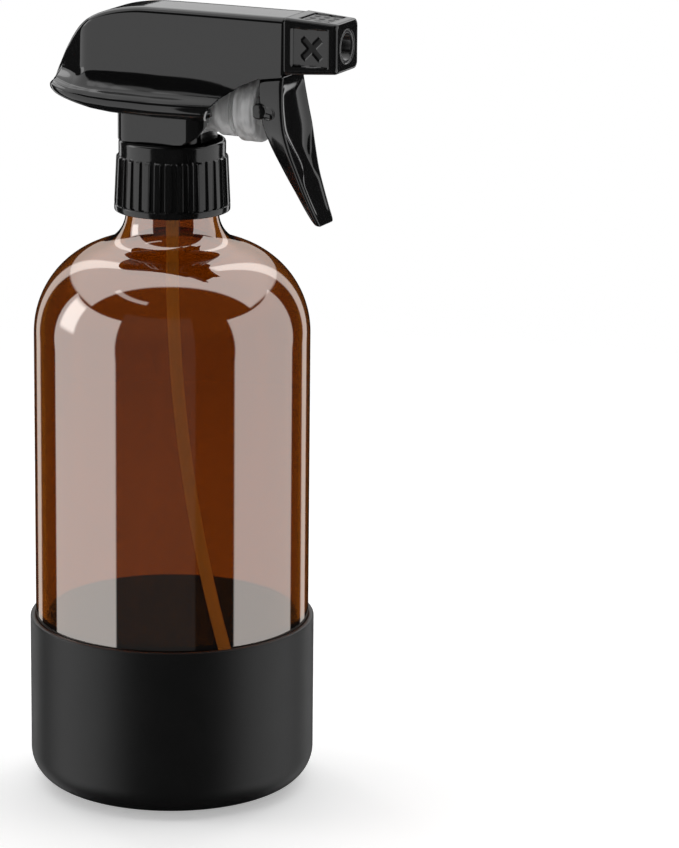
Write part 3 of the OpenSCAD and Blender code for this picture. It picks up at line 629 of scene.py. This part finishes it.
xs = np.concatenate([[-34.8, -34.75, -34.6, -34.4, -34.1, -33.8, -33.4, -33.0], np.linspace(-32.5, -20, 40), np.linspace(-19.5, 15, 44),
                     np.linspace(15.25, 20, 20), np.linspace(20.6, 35.6, 26), [35.9, 36.05, 36.15, 36.25, 36.33, 36.4]])
rows = []
for x in xs:
    o, i = half_section(x, front_fit(x)), half_section(x, 1.2)
    ring = [(x, -a, z) for a, z in o[::-1]] + [(x, a, z) for a, z in o[1:]] + [(x, a, z) for a, z in i[::-1]] + [(x, -a, z) for a, z in i[1:]]
    rows.append(ring)
cols = len(rows[0])
v = np.array(rows).reshape(-1, 3)
f = grid_faces(len(xs), cols)
half = (cols + 2) // 2
no = 2 * len(o) - 1
ni = 2 * len(i) - 1
ends = []
for row in (0, len(xs) - 1):
    base = row * cols
    for k in range(no - 1):
        a0, a1 = base + k, base + k + 1
        b0, b1 = base + cols - 1 - k, base + cols - 2 - k
        if k + 1 >= ni:
            continue
        ends.append((a0, a1, b1, b0) if row == 0 else (a0, b0, b1, a1))
shroud = Build().add(v, f + ends)
# the tail's blunt tip, closed by a rounded cap
tip = []
o = half_section(-34.8, 0)
ring = [(-a, z) for a, z in o[::-1]] + [(a, z) for a, z in o[1:]]
cz = float(np.mean([z for _, z in ring]))
steps = [(0, 1.0), (0.12, 0.93), (0.2, 0.8), (0.26, 0.55), (0.28, 0.25), (0.285, 0.02)]
for dx, s in steps:
    tip.append([(-34.8 - dx, a * s, cz + (z - cz) * s) for a, z in ring])
shroud.add(np.array(tip).reshape(-1, 3), grid_faces(len(steps), len(ring), flip=True))
# floor under the rear, between the walls
fx = np.linspace(-34.2, 15.2, 60)
rows = []
for x in fx:
    z0 = rim_z(x) + 0.35
    o = half_section(x, 0.5)
    wd = float(np.interp(z0 + 0.3, o[::-1, 1], o[::-1, 0])) if x > -33.9 else 2.5
    wd = max(1.5, wd - 0.4)
    ys = np.linspace(-wd, wd, 9)
    rows.append([(x, y, z0) for y in ys] + [(x, y, z0 + 0.9) for y in ys[::-1]])
shroud.add(np.array(rows).reshape(-1, 3), grid_faces(60, 18, flip=True) + [tuple(range(18)), tuple(range(59 * 18, 60 * 18))[::-1]])
# collar standing on the cap, with its sweeping front cut
CX0, CX1, CB, CRR = -12.3, 15.4, 12.2, 5.5


def oblong(n_arc=20, n_line=26, grow=0.0):
    """The collar's plan: a rounded oblong, counter-clockwise seen from above."""
    out_ = []
    corners = [(CX1 - CRR, CB - CRR, 0), (CX0 + CRR, CB - CRR, 90), (CX0 + CRR, -CB + CRR, 180), (CX1 - CRR, -CB + CRR, 270)]
    for q, (cx_, cy_, a0_) in enumerate(corners):
        for a_ in np.linspace(a0_, a0_ + 90, n_arc):
            out_.append((cx_ + (CRR + grow) * math.cos(math.radians(a_)), cy_ + (CRR + grow) * math.sin(math.radians(a_))))
        nx_, ny_, na_ = corners[(q + 1) % 4]
        p0_, p1_ = np.array(out_[-1]), np.array((nx_ + (CRR + grow) * math.cos(math.radians(na_)), ny_ + (CRR + grow) * math.sin(math.radians(na_))))
        for t_ in np.linspace(0, 1, n_line + 2)[1:-1]:
            out_.append(tuple(p0_ + (p1_ - p0_) * t_))
    return np.array(out_)


cut = np.array([[5.4, 180.05], [5.9, 180.1]] + bez([[8.5, 180.3], [12.6, 181.6], [14.9, 184.0], [15.3, 188.0]], np.linspace(0, 1, 30)).tolist() + [[15.5, 189.3]])
outer_plan = oblong()
SECT = [(0.0, 189.2, 0), (0.0, 188.0, 0), (0.0, 1.2, 1), (0.0, 0.6, 1), (-0.03, 0.22, 1), (-0.12, 0.06, 1), (-0.3, 0.0, 1), (-1.0, 0.0, 1), (-1.15, 0.06, 1),
        (-1.25, 0.25, 1), (-1.25, 1.2, 1), (-1.25, 189.2, 0)]
plans = {g_: oblong(grow=g_) for g_ in sorted({q[0] for q in SECT})}
rows = []
for k_ in range(len(outer_plan)):
    xo = outer_plan[k_][0]
    zb = 180.06 if xo < 5.4 else min(188.2, float(np.interp(xo, cut[:, 0], cut[:, 1])))
    rows.append([(plans[g_][k_][0], plans[g_][k_][1], (zb + z_) if rel else z_) for g_, z_, rel in SECT])
shroud.add(np.array(rows).reshape(-1, 3), grid_faces(len(outer_plan), 12, wrap_rows=True, flip=True))
shroud.make("head_shroud", "head", "shroud_plastic", [m_head], ("shroud",), 50)

# ---------------------------------------------------------------- trigger

FRONT = [[35.7, 200.0], [36.0, 187.0], [39.6, 174.0], [45.9, 160.4]]
REAR = [[28.9, 199.0], [28.0, 189.0], [31.8, 178.5], [44.2, 160.7]]
HALF = [[159, 4.4], [163, 5.2], [168, 6.1], [174, 7.0], [180, 8.4], [185.3, 9.2], [191, 8.65], [196, 7.7], [200, 6.7]]
ts = np.concatenate([[0.0, 0.004, 0.012, 0.025], np.linspace(0.04, 0.96, 90), [0.975, 0.988, 0.996, 1.0]])
rows = []
for t in ts:
    F, R = bez(FRONT, t), bez(REAR, t)
    zf = F[1]
    w0 = smooth(HALF, zf)
    e = (R - F)
    L = float(np.linalg.norm(e))
    e = e / L
    end = min(1.0, max(0.0, t / 0.025), max(0.0, (1 - t) / 0.04))
    pin = math.sqrt(max(0.0, 1 - (1 - end) ** 2))
    w0 = w0 - 0.5 * (1 - pin)
    wr = w0 * (1 - 0.20 * float(sstep(0.0, 0.25, t)) * (1 - float(sstep(0.8, 1.0, t))))
    d = 1.3 * float(sstep(0.03, 0.14, t) * (1 - sstep(0.50, 0.66, t)))   # depth of the finger dish
    d += 0.25 * float(sstep(0.60, 0.70, t) * (1 - sstep(0.90, 0.97, t)))
    wc = (w0 - 1.1) * (1 - 0.5 * float(sstep(0.34, 0.60, t))) + 0.42 * (w0 - 1.1) * float(sstep(0.62, 0.74, t))
    wc = max(1.2, wc)
    s0 = 0.35 * (1 - pin)
    rr = min(0.9, L * 0.3)
    half = [(s0 + d, 0.0), (s0 + d * 0.99, wc * 0.35), (s0 + d * 0.93, wc * 0.6), (s0 + d * 0.78, wc * 0.78), (s0 + d * 0.5, wc * 0.9), (s0 + d * 0.2, wc * 0.98),
            (s0 + d * 0.05, wc * 1.03), (s0, wc * 1.07), (s0, w0 - 1.0 * rr), (s0 + 0.04, w0 - 0.62 * rr), (s0 + 0.16, w0 - 0.3 * rr), (s0 + 0.38, w0 - 0.09 * rr), (s0 + 0.75, w0)]
    thin = float(sstep(0.62, 0.90, t))
    deep = max(min(3.1, L - 0.6), 0.6) * (1 - thin) + (L - 0.35) * thin
    inr = max(1.0, wr - 2.0)
    half += [(s0 + 0.75 + (L - 1.5) * q, w0 + (wr - w0) * q) for q in (0.12, 0.3, 0.5, 0.7, 0.9)]
    half += [(L - 0.45, wr), (L - 0.2, wr - 0.08), (L - 0.05, wr - 0.3), (L, wr - 0.6), (L - 0.02, wr - 1.2), (L - 0.15, wr - 1.55), (L - 0.45, wr - 1.75)]
    half += [(deep + (L - 0.5 - deep) * 0.5, inr + 0.1), (deep + 0.3, inr), (deep, inr - 0.5), (deep, inr * 0.5), (deep, 0.0)]
    half = [(max(0.02, min(s, L)), y) for s, y in half]
    pts = [(F[0] + e[0] * s, y, F[1] + e[1] * s) for s, y in half]
    ring = pts + [(p[0], -p[1], p[2]) for p in pts[-2:0:-1]]
    rows.append(ring)
cols = len(rows[0])
nh = len(half)
v = np.array(rows).reshape(-1, 3)
f = grid_faces(len(ts), cols, flip=True)
for row in (0, len(ts) - 1):
    base = row * cols
    order = []
    for k in range(cols // 2):
        a0, a1 = base + k, base + k + 1
        b0, b1 = base + (cols - k) % cols, base + cols - k - 1
        q = (a0, b0, b1, a1) if row else (a0, a1, b1, b0)
        q = tuple(dict.fromkeys(q))
        if len(q) > 2:
            order.append(q)
    f += order
trig = Build().add(v, f)
# arms to the pivot
for s in (-1, 1):
    side = [(28.9, 197.5), (27.45, 204.4)] + arc((30.0, 204.4), 2.55, 180, 0, 14) + [(34.4, 201.4), (35.4, 198.0)]
    side = side[:2] + side[3:]
    n = len(side)
    y0, y1 = (s * 5.1, s * 6.3)
    rows = [[(x, y0, z) for x, z in side], [(x, y0 + (y1 - y0) * 0.85, z) for x, z in side]]
    cx, cz2 = 31.2, 201.5
    rows.append([(cx + (x - cx) * 0.965, y1, cz2 + (z - cz2) * 0.965) for x, z in side])
    vv = np.array(rows).reshape(-1, 3)
    ff = grid_faces(3, n, flip=(s < 0)) + [tuple(range(n)) if s > 0 else tuple(range(n))[::-1], tuple(range(2 * n, 3 * n))[::-1] if s > 0 else tuple(range(2 * n, 3 * n))]
    trig.add(vv, ff)
    # boss on the side wall's back edge, rounded button
    prof = [(0.01, 0.0), (2.1, 0.0), (2.1, 1.5), (2.05, 1.8), (1.9, 2.02), (1.6, 2.15), (0.9, 2.22), (0.01, 2.24)]
    pv, pf = revolve(prof, 40)
    pv = np.stack([29.3 + pv[:, 0], s * (6.15 + pv[:, 2]), 190.6 + pv[:, 1]], 1)
    trig.add(pv, [q[::-1] for q in pf] if s > 0 else pf)
    # pins
    for cx, cz3, r, ya, yb in ((29.3, 190.6, 1.9, 4.6, 6.8), (30.0, 204.4, 1.6, 3.7, 5.5)):
        prof = [(0.01, ya), (r - 0.2, ya), (r, ya + 0.2), (r, yb), (0.01, yb)]
        pv, pf = revolve(prof, 32)
        pv = np.stack([cx + pv[:, 0], s * pv[:, 2], cz3 + pv[:, 1]], 1)
        trig.add(pv, [q[::-1] for q in pf] if s > 0 else pf)
# outline for a web across the top, between the arms, under the nozzle; it is not added to the lever
prof2 = [(34.3, 199.2), (35.5, 199.2), (35.45, 200.6), (35.0, 201.2), (34.3, 201.0)]
trig.make("trigger_lever", "trigger", "trigger_plastic", [m_trig], ("trigger",), 50)

# arched recess and its bar on each side: thin shells laid on the wall
rec = Build()
for s in (-1, 1):
    # dark arched recess, a shallow dished patch
    n = 40
    cx, cz4 = 31.9, 189.9
    outl = []
    for k in range(n):
        a = 2 * math.pi * k / n
        rx, rz = 2.1, (2.0 if math.sin(a) > 0 else 1.35)
        outl.append((cx + rx * math.cos(a) + 0.25 * math.sin(a), cz4 + rz * math.sin(a)))

    def wall_y(x, z):
        t = np.clip((200 - z) / 40, 0, 1)
        lo_, hi_ = 0.0, 1.0
        for _ in range(24):
            md = (lo_ + hi_) / 2
            if bez(FRONT, md)[1] > z:
                lo_ = md
            else:
                hi_ = md
        F, R = bez(FRONT, lo_), bez(REAR, lo_)
        L = np.linalg.norm(R - F)
        q = np.clip((F[0] - x - 0.75) / (L - 1.5), 0, 1)
        w0 = smooth(HALF, z)
        wr = w0 * 0.80
        return w0 + (wr - w0) * q

    rows = []
    for sc, lift in ((1.12, 0.02), (1.0, 0.16), (0.93, 0.14), (0.88, 0.05), (0.6, 0.03), (0.05, 0.02)):
        rows.append([(cx + (x - cx) * sc, s * (wall_y(cx + (x - cx) * sc, cz4 + (z - cz4) * sc) + lift), cz4 + (z - cz4) * sc) for x, z in outl])
    rec.add(np.array(rows).reshape(-1, 3), grid_faces(6, n, flip=(s > 0)), 0)
    # bar
    bar = []
    m2 = 10
    for k in range(m2 + 1):
        u = k / m2
        x = 29.6 + 4.0 * u
        z = 189.55 + 0.15 * math.sin(u * math.pi)
        bar.append((x, s * (wall_y(x, z) + 0.02), z))
    rad = [0.25] + [0.72] * (m2 - 1) + [0.25]
    bv, bf = pipe(bar, rad, 20)
    rec.add(bv, bf, 0)
rec.make("trigger_side_catch", "trigger", "trigger_plastic", [m_trig], ("trigger",), 50)

# ---------------------------------------------------------------- nozzle

SZ = 208.5
NX0, NX1 = 36.55, 51.2


def rounded_rect(w, h, r, n=18, m=26):
    """Points round a rounded rectangle, counter-clockwise seen from the front."""
    pts = []
    for cx, cy, a0 in ((w - r, h - r, 0), (-w + r, h - r, 90), (-w + r, -h + r, 180), (w - r, -h + r, 270)):
        for a in np.linspace(a0, a0 + 90, n):
            pts.append((cx + r * math.cos(math.radians(a)), cy + r * math.sin(math.radians(a))))
        # straight run to the next corner
        nx, ny, na = {0: (-w + r, h - r, 90), 90: (-w + r, -h + r, 180), 180: (w - r, -h + r, 270), 270: (w - r, h - r, 0)}[a0]
        p0 = np.array(pts[-1])
        p1 = np.array((nx + r * math.cos(math.radians(na)), ny + r * math.sin(math.radians(na))))
        for t in np.linspace(0, 1, m + 2)[1:-1]:
            pts.append(tuple(p0 + (p1 - p0) * t))
    return np.array(pts)


def box_mask(a, b, a0, a1, b0, b1, soft):
    return float(sstep(a0 - soft, a0 + soft, a) * (1 - sstep(a1 - soft, a1 + soft, a)) * sstep(b0 - soft, b0 + soft, b) * (1 - sstep(b1 - soft, b1 + soft, b)))


nxs = np.concatenate([[NX0, NX0 + 0.03, NX0 + 0.1, NX0 + 0.22], np.linspace(NX0 + 0.4, NX1 - 0.9, 120), NX1 - 0.9 + 0.9 * np.sin(np.radians(np.linspace(8, 90, 10)))])
rows, region = [], []
for x in nxs:
    u = (x - NX0) / (NX1 - NX0)
    w = (16.5 + (14.2 - 16.5) * u) / 2
    h = (15.15 + (13.3 - 15.15) * u) / 2
    sh = 0.0
    if x > NX1 - 0.9:
        sh = 0.9 - math.sqrt(max(0.0, 0.81 - (x - NX1 + 0.9) ** 2))
    if x < NX0 + 0.3:
        sh = max(sh, 0.12 * (1 - (x - NX0) / 0.3) ** 2)
    ring = []
    mm = []
    base = rounded_rect(w - sh, h - sh, 1.5, 14, 44)
    for y, z in base:
        ny = nz = 0.0
        depth = 0.0
        side = abs(y) > w - sh - 0.02
        top = abs(z) > h - sh - 0.02
        flag = 0
        if side:
            pnl = box_mask(x, z, 38.6, 48.9, -4.9, 5.0, 0.16)
            cross = 0.0
            # the cross stands in the panel
            for sgn in (1, -1):
                uu = ((x - 44.2) + sgn * (z + 0.2)) / math.sqrt(2)
                vv = ((x - 44.2) - sgn * (z + 0.2)) / math.sqrt(2)
                c = float((1 - sstep(0.66, 0.84, abs(uu))) * (1 - sstep(3.5, 3.7, abs(vv))))
                if c > 0:
                    cross = max(cross, c)
            # the panel's floor is flat, and the cross is cut into it
            y = math.copysign(abs(y) + (7.0 - 0.3 * cross - abs(y)) * pnl, y)
            flag = 2 if cross > 0.5 and pnl > 0.9 else 0
        elif top:
            pnl = box_mask(x, y, 39.4, 48.4, -5.2, 5.2, 0.16)
            depth = 0.5 * pnl
            if pnl > 0.99:
                flag = 1
            for i in (-1, 0, 1):
                for j in (-1, 0, 1):
                    dd = math.hypot(x - (43.9 + i * 2.7), y - j * 3.2)
                    depth -= 0.28 * float(1 - sstep(0.72, 1.0, dd)) * pnl
            z = z - math.copysign(depth, z)
        ring.append((x, y, SZ + z))
        mm.append(flag)
    rows.append(ring)
    region.append(mm)
cols = len(rows[0])
# front face: from the rounded square in to the eye
wf, hf = 14.2 / 2 - 0.9, 13.3 / 2 - 0.9
base = rounded_rect(wf, hf, 0.9, 14, 44)
angs = np.arctan2(base[:, 1], base[:, 0])
for k, tt in enumerate((0.25, 0.5, 0.75, 0.9)):
    rc = 4.95
    ring = []
    for (y, z), a in zip(base, angs):
        ring.append((NX1, y + (rc * math.cos(a) - y) * tt, SZ + z + (rc * math.sin(a) - z) * tt))
    rows.append(ring)
    region.append([0] * cols)
for r, x in ((4.85, NX1), (4.72, NX1 - 0.02), (4.6, NX1 - 0.08), (4.52, NX1 - 0.22), (4.5, NX1 - 0.5), (4.5, 47.0), (4.5, 45.0), (4.65, 44.9), (4.65, NX0)):
    rows.append([(x, r * math.cos(a), SZ + r * math.sin(a)) for a in angs])
    region.append([0] * cols)
rows.append([(NX0, y * 0.5 + 0.5 * 4.65 * math.cos(a), SZ + z * 0.5 + 0.5 * 4.65 * math.sin(a)) for (y, z), a in zip(rounded_rect(8.13, 7.45, 1.5, 14, 44), angs)])
region.append([0] * cols)
rows.append(rows[0])
region.append([0] * cols)
v = np.array(rows).reshape(-1, 3)
f = grid_faces(len(rows), cols)
fm = []
for i in range(len(rows) - 1):
    for j in range(cols):
        fm.append(region[i][j] if (region[i][j] and region[i + 1][(j + 1) % cols]) else 0)
mesh("nozzle_shell", v, f, "nozzle", [m_nozz, m_nozz_panel, m_nozz_cross], ("nozzle",), fm, 50)

prof = [(0.34, 45.0), (4.4, 45.02), (4.48, 45.1), (4.48, 50.1), (4.42, 50.4), (4.25, 50.5), (3.8, 50.5), (3.62, 50.44), (3.52, 50.25), (3.5, 49.9), (3.5, 47.2),
        (3.42, 46.85), (3.2, 46.65), (2.4, 46.6), (1.9, 46.62), (1.75, 46.9), (1.55, 47.15), (1.2, 47.25), (0.8, 47.2), (0.55, 46.9), (0.34, 46.4), (0.34, 45.0)]
v, f = revolve(prof, 96)
v = v + np.array([0, 0, 0.6])
mesh("nozzle_eye_insert", to_x(v, SZ), f, "nozzle", [m_insert], ("orifice_insert",), None, 45)

# ---------------------------------------------------------------- dip tube

zb, Rb = 146.0, 368.0
sweep = math.asin((zb - 7.5) / Rb)
path = [(0, 0, z) for z in np.linspace(171.6, zb, 24)]
path += [(Rb - Rb * math.cos(a), 0, zb - Rb * math.sin(a)) for a in np.linspace(0, sweep, 120)[1:]]
po, fo = pipe(path, 1.7, 40, ends=False)
pi_, fi = pipe(path, 1.1, 40, ends=False)
tb = Build().add(po, fo).add(pi_, [q[::-1] for q in fi])
n = len(path)
rim = []
for base, flip in ((0, False), ((n - 1) * 40, True)):
    for k in range(40):
        q = (base + k, base + (k + 1) % 40, n * 40 + base + (k + 1) % 40, n * 40 + base + k)
        rim.append(q[::-1] if not flip else q)
tb.f += rim
tb.m += [0] * len(rim)
tb.make("dip_tube_drawn", "head", "tube_plastic", [m_tube], ("dip_tube",), 50)

# ---------------------------------------------------------------- piston, spring

PZ = 190.4
piston = Build()
prof = [(3.6, 9.0), (4.2, 9.0), (4.4, 9.2), (4.4, 15.0), (4.45, 15.1), (5.5, 15.1), (5.6, 15.2), (5.6, 16.3), (5.5, 16.5), (4.5, 16.5), (4.4, 16.6), (4.4, 26.4),
        (4.6, 26.6), (8.45, 26.6), (8.6, 26.45), (8.6, 22.4), (8.7, 22.3), (9.1, 22.3), (9.3, 22.5), (9.3, 23.4), (9.25, 23.6), (9.25, 25.0), (9.3, 25.2), (9.3, 27.0),
        (9.2, 27.35), (8.95, 27.62), (8.5, 27.78), (7.9, 27.8), (3.0, 27.8), (2.6, 27.6), (2.4, 27.2), (1.8, 27.0), (0.01, 27.0)]
v, f = revolve(dense(prof, 0.6), 112)
piston.add(to_x(v, PZ), f)
prof = [(0.01, 25.0), (1.8, 25.0), (1.8, 16.2), (3.6, 16.2), (3.6, 9.0)]
v, f = revolve(dense(prof, 0.6), 64)
piston.add(to_x(v, PZ), f)
for s in (-1, 1):
    side = round_poly([(27.4, 186.8), (31.4, 186.8), (31.4, 193.9), (27.4, 193.9)], [0, 1.0, 1.0, 0], 5)
    n = len(side)
    ys = (s * 4.52, s * 4.6, s * 5.85, s * 5.98)
    sc = (0.96, 1.0, 1.0, 0.96)
    rows = []
    for yy, k in zip(ys, sc):
        rows.append([(29.2 + (x - 29.2) * k, yy, 190.3 + (z - 190.3) * k) for x, z in side])
    ff = grid_faces(4, n, flip=(s > 0)) + [tuple(range(n))[::-1] if s > 0 else tuple(range(n)), tuple(range(3 * n, 4 * n)) if s > 0 else tuple(range(3 * n, 4 * n))[::-1]]
    piston.add(np.array(rows).reshape(-1, 3), ff)
piston.make("piston_collar_rod", "piston", "pump_plastic", [m_piston], ("piston",), 40)

wire, r = 0.45, 2.85
x0, x1 = -4.5 + wire + 0.04, 16.2 - wire - 0.04
turns = 8
path = []
d = 2 * wire * 1.06
for i in range(turns * 40 + 1):
    u = i / 40
    if u < 1:
        x = x0 + d * u
    elif u > turns - 1:
        x = x1 - d * (turns - u)
    else:
        x = x0 + d + (x1 - x0 - 2 * d) * (u - 1) / (turns - 2)
    a = 2 * math.pi * u
    path.append((x, r * math.cos(a), PZ + r * math.sin(a)))
v, f = pipe(path, wire, 14)
spring = mesh("return_spring_wire", v, f, "piston", [m_steel], ("return_spring",), None, 50)
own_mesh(spring)

# ---------------------------------------------------------------- pieces that keep the CAD's own shape


def dress(node, mat, bevel=0.12, angle=35):
    ob = frame["nodes"][node]
    me = ob.data
    me.materials.clear()
    me.materials.append(mat)
    for nm in ("custom_normal",):
        at = me.attributes.get(nm)
        if at is not None:
            me.attributes.remove(at)
    wd = ob.modifiers.new("weld", "WELD")
    wd.merge_threshold = 1e-6
    me.polygons.foreach_set("use_smooth", np.ones(len(me.polygons), bool))
    me.set_sharp_from_angle(angle=math.radians(angle))
    if bevel:
        bv = ob.modifiers.new("edge", "BEVEL")
        bv.width = bevel * MM
        bv.segments = 2
        bv.limit_method = "ANGLE"
        bv.angle_limit = math.radians(angle)
        bv.use_clamp_overlap = True
        bv.harden_normals = False


dress("pump_body", m_pump, 0.15)
dress("riser_plug", m_pump, 0.1)
dress("piston_seal", m_seal, 0.06)
dress("tube_retainer", m_retain, 0.1)
dress("neck_gasket", m_foam, 0.1)
dress("inlet_ball", m_ball, 0)
dress("outlet_ball", m_ball, 0)
dress("spinner", m_seal, 0.05)
dress("nozzle_seal", m_seal, 0.05)

# ---------------------------------------------------------------- floor

me = bpy.data.meshes.new("floor")
vv, ff = [(0, 0, -0.0002)], []
rings, seg = 24, 64
for i in range(1, rings + 1):
    rr = 0.62 * (i / rings) ** 1.3
    vv += [(rr * math.cos(2 * math.pi * k / seg), rr * math.sin(2 * math.pi * k / seg), -0.0002) for k in range(seg)]
ff += [(0, 1 + k, 1 + (k + 1) % seg) for k in range(seg)]
for i in range(rings - 1):
    a, b2 = 1 + i * seg, 1 + (i + 1) * seg
    ff += [(a + k, b2 + k, b2 + (k + 1) % seg, a + (k + 1) % seg) for k in range(seg)]
me.from_pydata(vv, [], ff)
floor = bpy.data.objects.new("floor", me)
scene.collection.objects.link(floor)
fm_ = bpy.data.materials.new("floor_pale")
fm_.use_nodes = True
g = Nodes(fm_.node_tree)
out = g.n("ShaderNodeOutputMaterial")
df = g.n("ShaderNodeBsdfDiffuse")
df.inputs["Color"].default_value = (0.93, 0.93, 0.93, 1)
em = g.n("ShaderNodeEmission")
em.inputs["Color"].default_value = (1, 1, 1, 1)
em.inputs["Strength"].default_value = 0.36
ad = g.n("ShaderNodeAddShader")
g.put(ad.inputs[0], df.outputs[0])
g.put(ad.inputs[1], em.outputs[0])
tr = g.n("ShaderNodeBsdfTransparent")
geo = g.n("ShaderNodeNewGeometry")
ln = g.n("ShaderNodeVectorMath", operation="LENGTH")
g.put(ln.inputs[0], geo.outputs["Position"])
fade = g.step(ln.outputs["Value"], 0.26, 0.56)
mx = g.n("ShaderNodeMixShader")
g.put(mx.inputs[0], fade)
g.put(mx.inputs[1], ad.outputs[0])
g.put(mx.inputs[2], tr.outputs[0])
g.t.links.new(mx.outputs[0], out.inputs["Surface"])
me.materials.append(fm_)
floor.visible_glossy = False

# the front of the head is left out of mirror images, so the glass shoulder shows the studio
for nm in ("pump_body", "spinner", "nozzle_seal", "riser_plug", "outlet_ball", "piston_seal"):
    frame["nodes"][nm].visible_glossy = False
for ob in bpy.data.objects:
    if ob.name.split(".")[0] in ("trigger_lever", "trigger_side_catch", "nozzle_shell", "nozzle_eye_insert", "piston_collar_rod", "return_spring_wire"):
        ob.visible_glossy = False

# ---------------------------------------------------------------- studio

world = bpy.data.worlds.new("studio")
scene.world = world
world.use_nodes = True
g = Nodes(world.node_tree)
out = g.n("ShaderNodeOutputWorld")
tc = g.n("ShaderNodeTexCoord")
dirn = g.vm("NORMALIZE", tc.outputs["Generated"])
vt = g.n("ShaderNodeVectorTransform", vector_type="VECTOR", convert_from="CAMERA", convert_to="WORLD")
vt.inputs[0].default_value = (1, 0, 0)
right = vt.outputs[0]
fwd = g.vm("CROSS_PRODUCT", (0, 0, 1), right)
sx = g.vm("DOT_PRODUCT", dirn, right)
sf = g.vm("DOT_PRODUCT", dirn, fwd)
sep = g.n("ShaderNodeSeparateXYZ")
g.put(sep.inputs[0], dirn)
el = g.m("MULTIPLY", g.m("ARCSINE", sep.outputs["Z"]), 57.29578)
# azimuth round the camera: 0 behind it, positive to its right, 180 beyond the object
az = g.m("MULTIPLY", g.m("ARCTAN2", sx, g.m("MULTIPLY", sf, -1.0)), 57.29578)
aaz = g.m("ABSOLUTE", az)


def panel(a0, a1, e0, e1, level, sa=3.0, se=2.0, src=None):
    q = g.m("MULTIPLY", g.band(src if src is not None else az, a0, a1, sa), g.band(el, e0, e1, se))
    return g.m("MULTIPLY", q, level)


z_up = g.m("MAXIMUM", sep.outputs["Z"], 0.02)
px = g.m("ABSOLUTE", g.m("DIVIDE", sx, z_up))
py = g.m("DIVIDE", sf, z_up)
over = g.m("MULTIPLY", g.band(py, -0.13, 9.0, 0.06), g.m("SUBTRACT", 1.0, g.step(px, 1.45, 1.6)))
over = g.m("MULTIPLY", over, g.m("MULTIPLY", g.step(sep.outputs["Z"], 0.0, 0.08), g.m("ADD", 0.95, g.m("MULTIPLY", g.step(sep.outputs["Z"], 0.22, 0.6), 0.4))))
parts = [
    panel(-112, -46, -44, 31, 1.35, 2, 1.5),          # tall white card on the left
    panel(55, 121, -44, 31, 1.2, 2, 1.5),             # tall white card on the right
    panel(-46, 21, -44, 40, 0.035, 1.5, 2),           # dim wall behind the camera, left part
    panel(-85, -30, 54.5, 58.5, 1.0, 4, 1.5),         # slim strip between the left card and the soft box
    over,                                             # soft box overhead and beyond
    panel(141, 153, -44, 60, 1.25, 3, 4, aaz),        # edge lights beyond the object, either side
    panel(-107, -88, 4, 29, 1.9, 4, 5),              # key lamp, upper left
]
tot = parts[0]
for p_ in parts[1:]:
    tot = g.m("ADD", tot, p_)
tot = g.m("ADD", tot, 0.012)
# what is seen through clear pieces
thru = g.m("ADD", g.m("MULTIPLY", g.band(aaz, 118, 200, 14), 0.95), 0.05)
thru = g.m("MAXIMUM", thru, g.m("MULTIPLY", g.step(el, 8, 26), 2.2))
thru = g.m("MAXIMUM", thru, g.m("MULTIPLY", g.band(aaz, 82, 93, 3), 1.6))
lp = g.n("ShaderNodeLightPath")
mixa = g.n("ShaderNodeMix", data_type="FLOAT")
g.put(mixa.inputs["Factor"], lp.outputs["Is Transmission Ray"])
g.put(mixa.inputs["A"], tot)
g.put(mixa.inputs["B"], thru)
mixb = g.n("ShaderNodeMix", data_type="FLOAT")
g.put(mixb.inputs["Factor"], lp.outputs["Is Camera Ray"])
g.put(mixb.inputs["A"], mixa.outputs[0])
mixb.inputs["B"].default_value = 1.0
bg = g.n("ShaderNodeBackground")
bg.inputs["Color"].default_value = (1, 1, 1, 1)
g.put(bg.inputs["Strength"], mixb.outputs[0])
g.t.links.new(bg.outputs[0], out.inputs["Surface"])

# ---------------------------------------------------------------- camera

YAW = -2.19            # turns the view so the bottle stands left of the middle
A = math.radians(26.5)
P = math.radians(14.433)
eye = Vector((1.15582 * math.sin(A), -1.15582 * math.cos(A), 0.39798))
rt = Vector((math.cos(A), math.sin(A), 0))
fh = Vector((-math.sin(A), math.cos(A), 0))
fw = fh * math.cos(P) - Vector((0, 0, 1)) * math.sin(P)
up = fh * math.sin(P) + Vector((0, 0, 1)) * math.cos(P)
rot = Matrix((rt, up, -fw)).transposed()
rot = rot @ Matrix.Rotation(math.radians(YAW), 3, "Y")
cam = bpy.data.cameras.new("camera")
cam.sensor_width = 36.0
cam.lens = 4371.55 * 36.0 / 848.0
cam.clip_start, cam.clip_end = 0.05, 50
cam_ob = bpy.data.objects.new("camera", cam)
scene.collection.objects.link(cam_ob)
cam_ob.matrix_world = Matrix.Translation(eye) @ rot.to_4x4()
scene.camera = cam_ob
scene.view_settings.view_transform = "Standard"
scene.view_settings.look = "None"
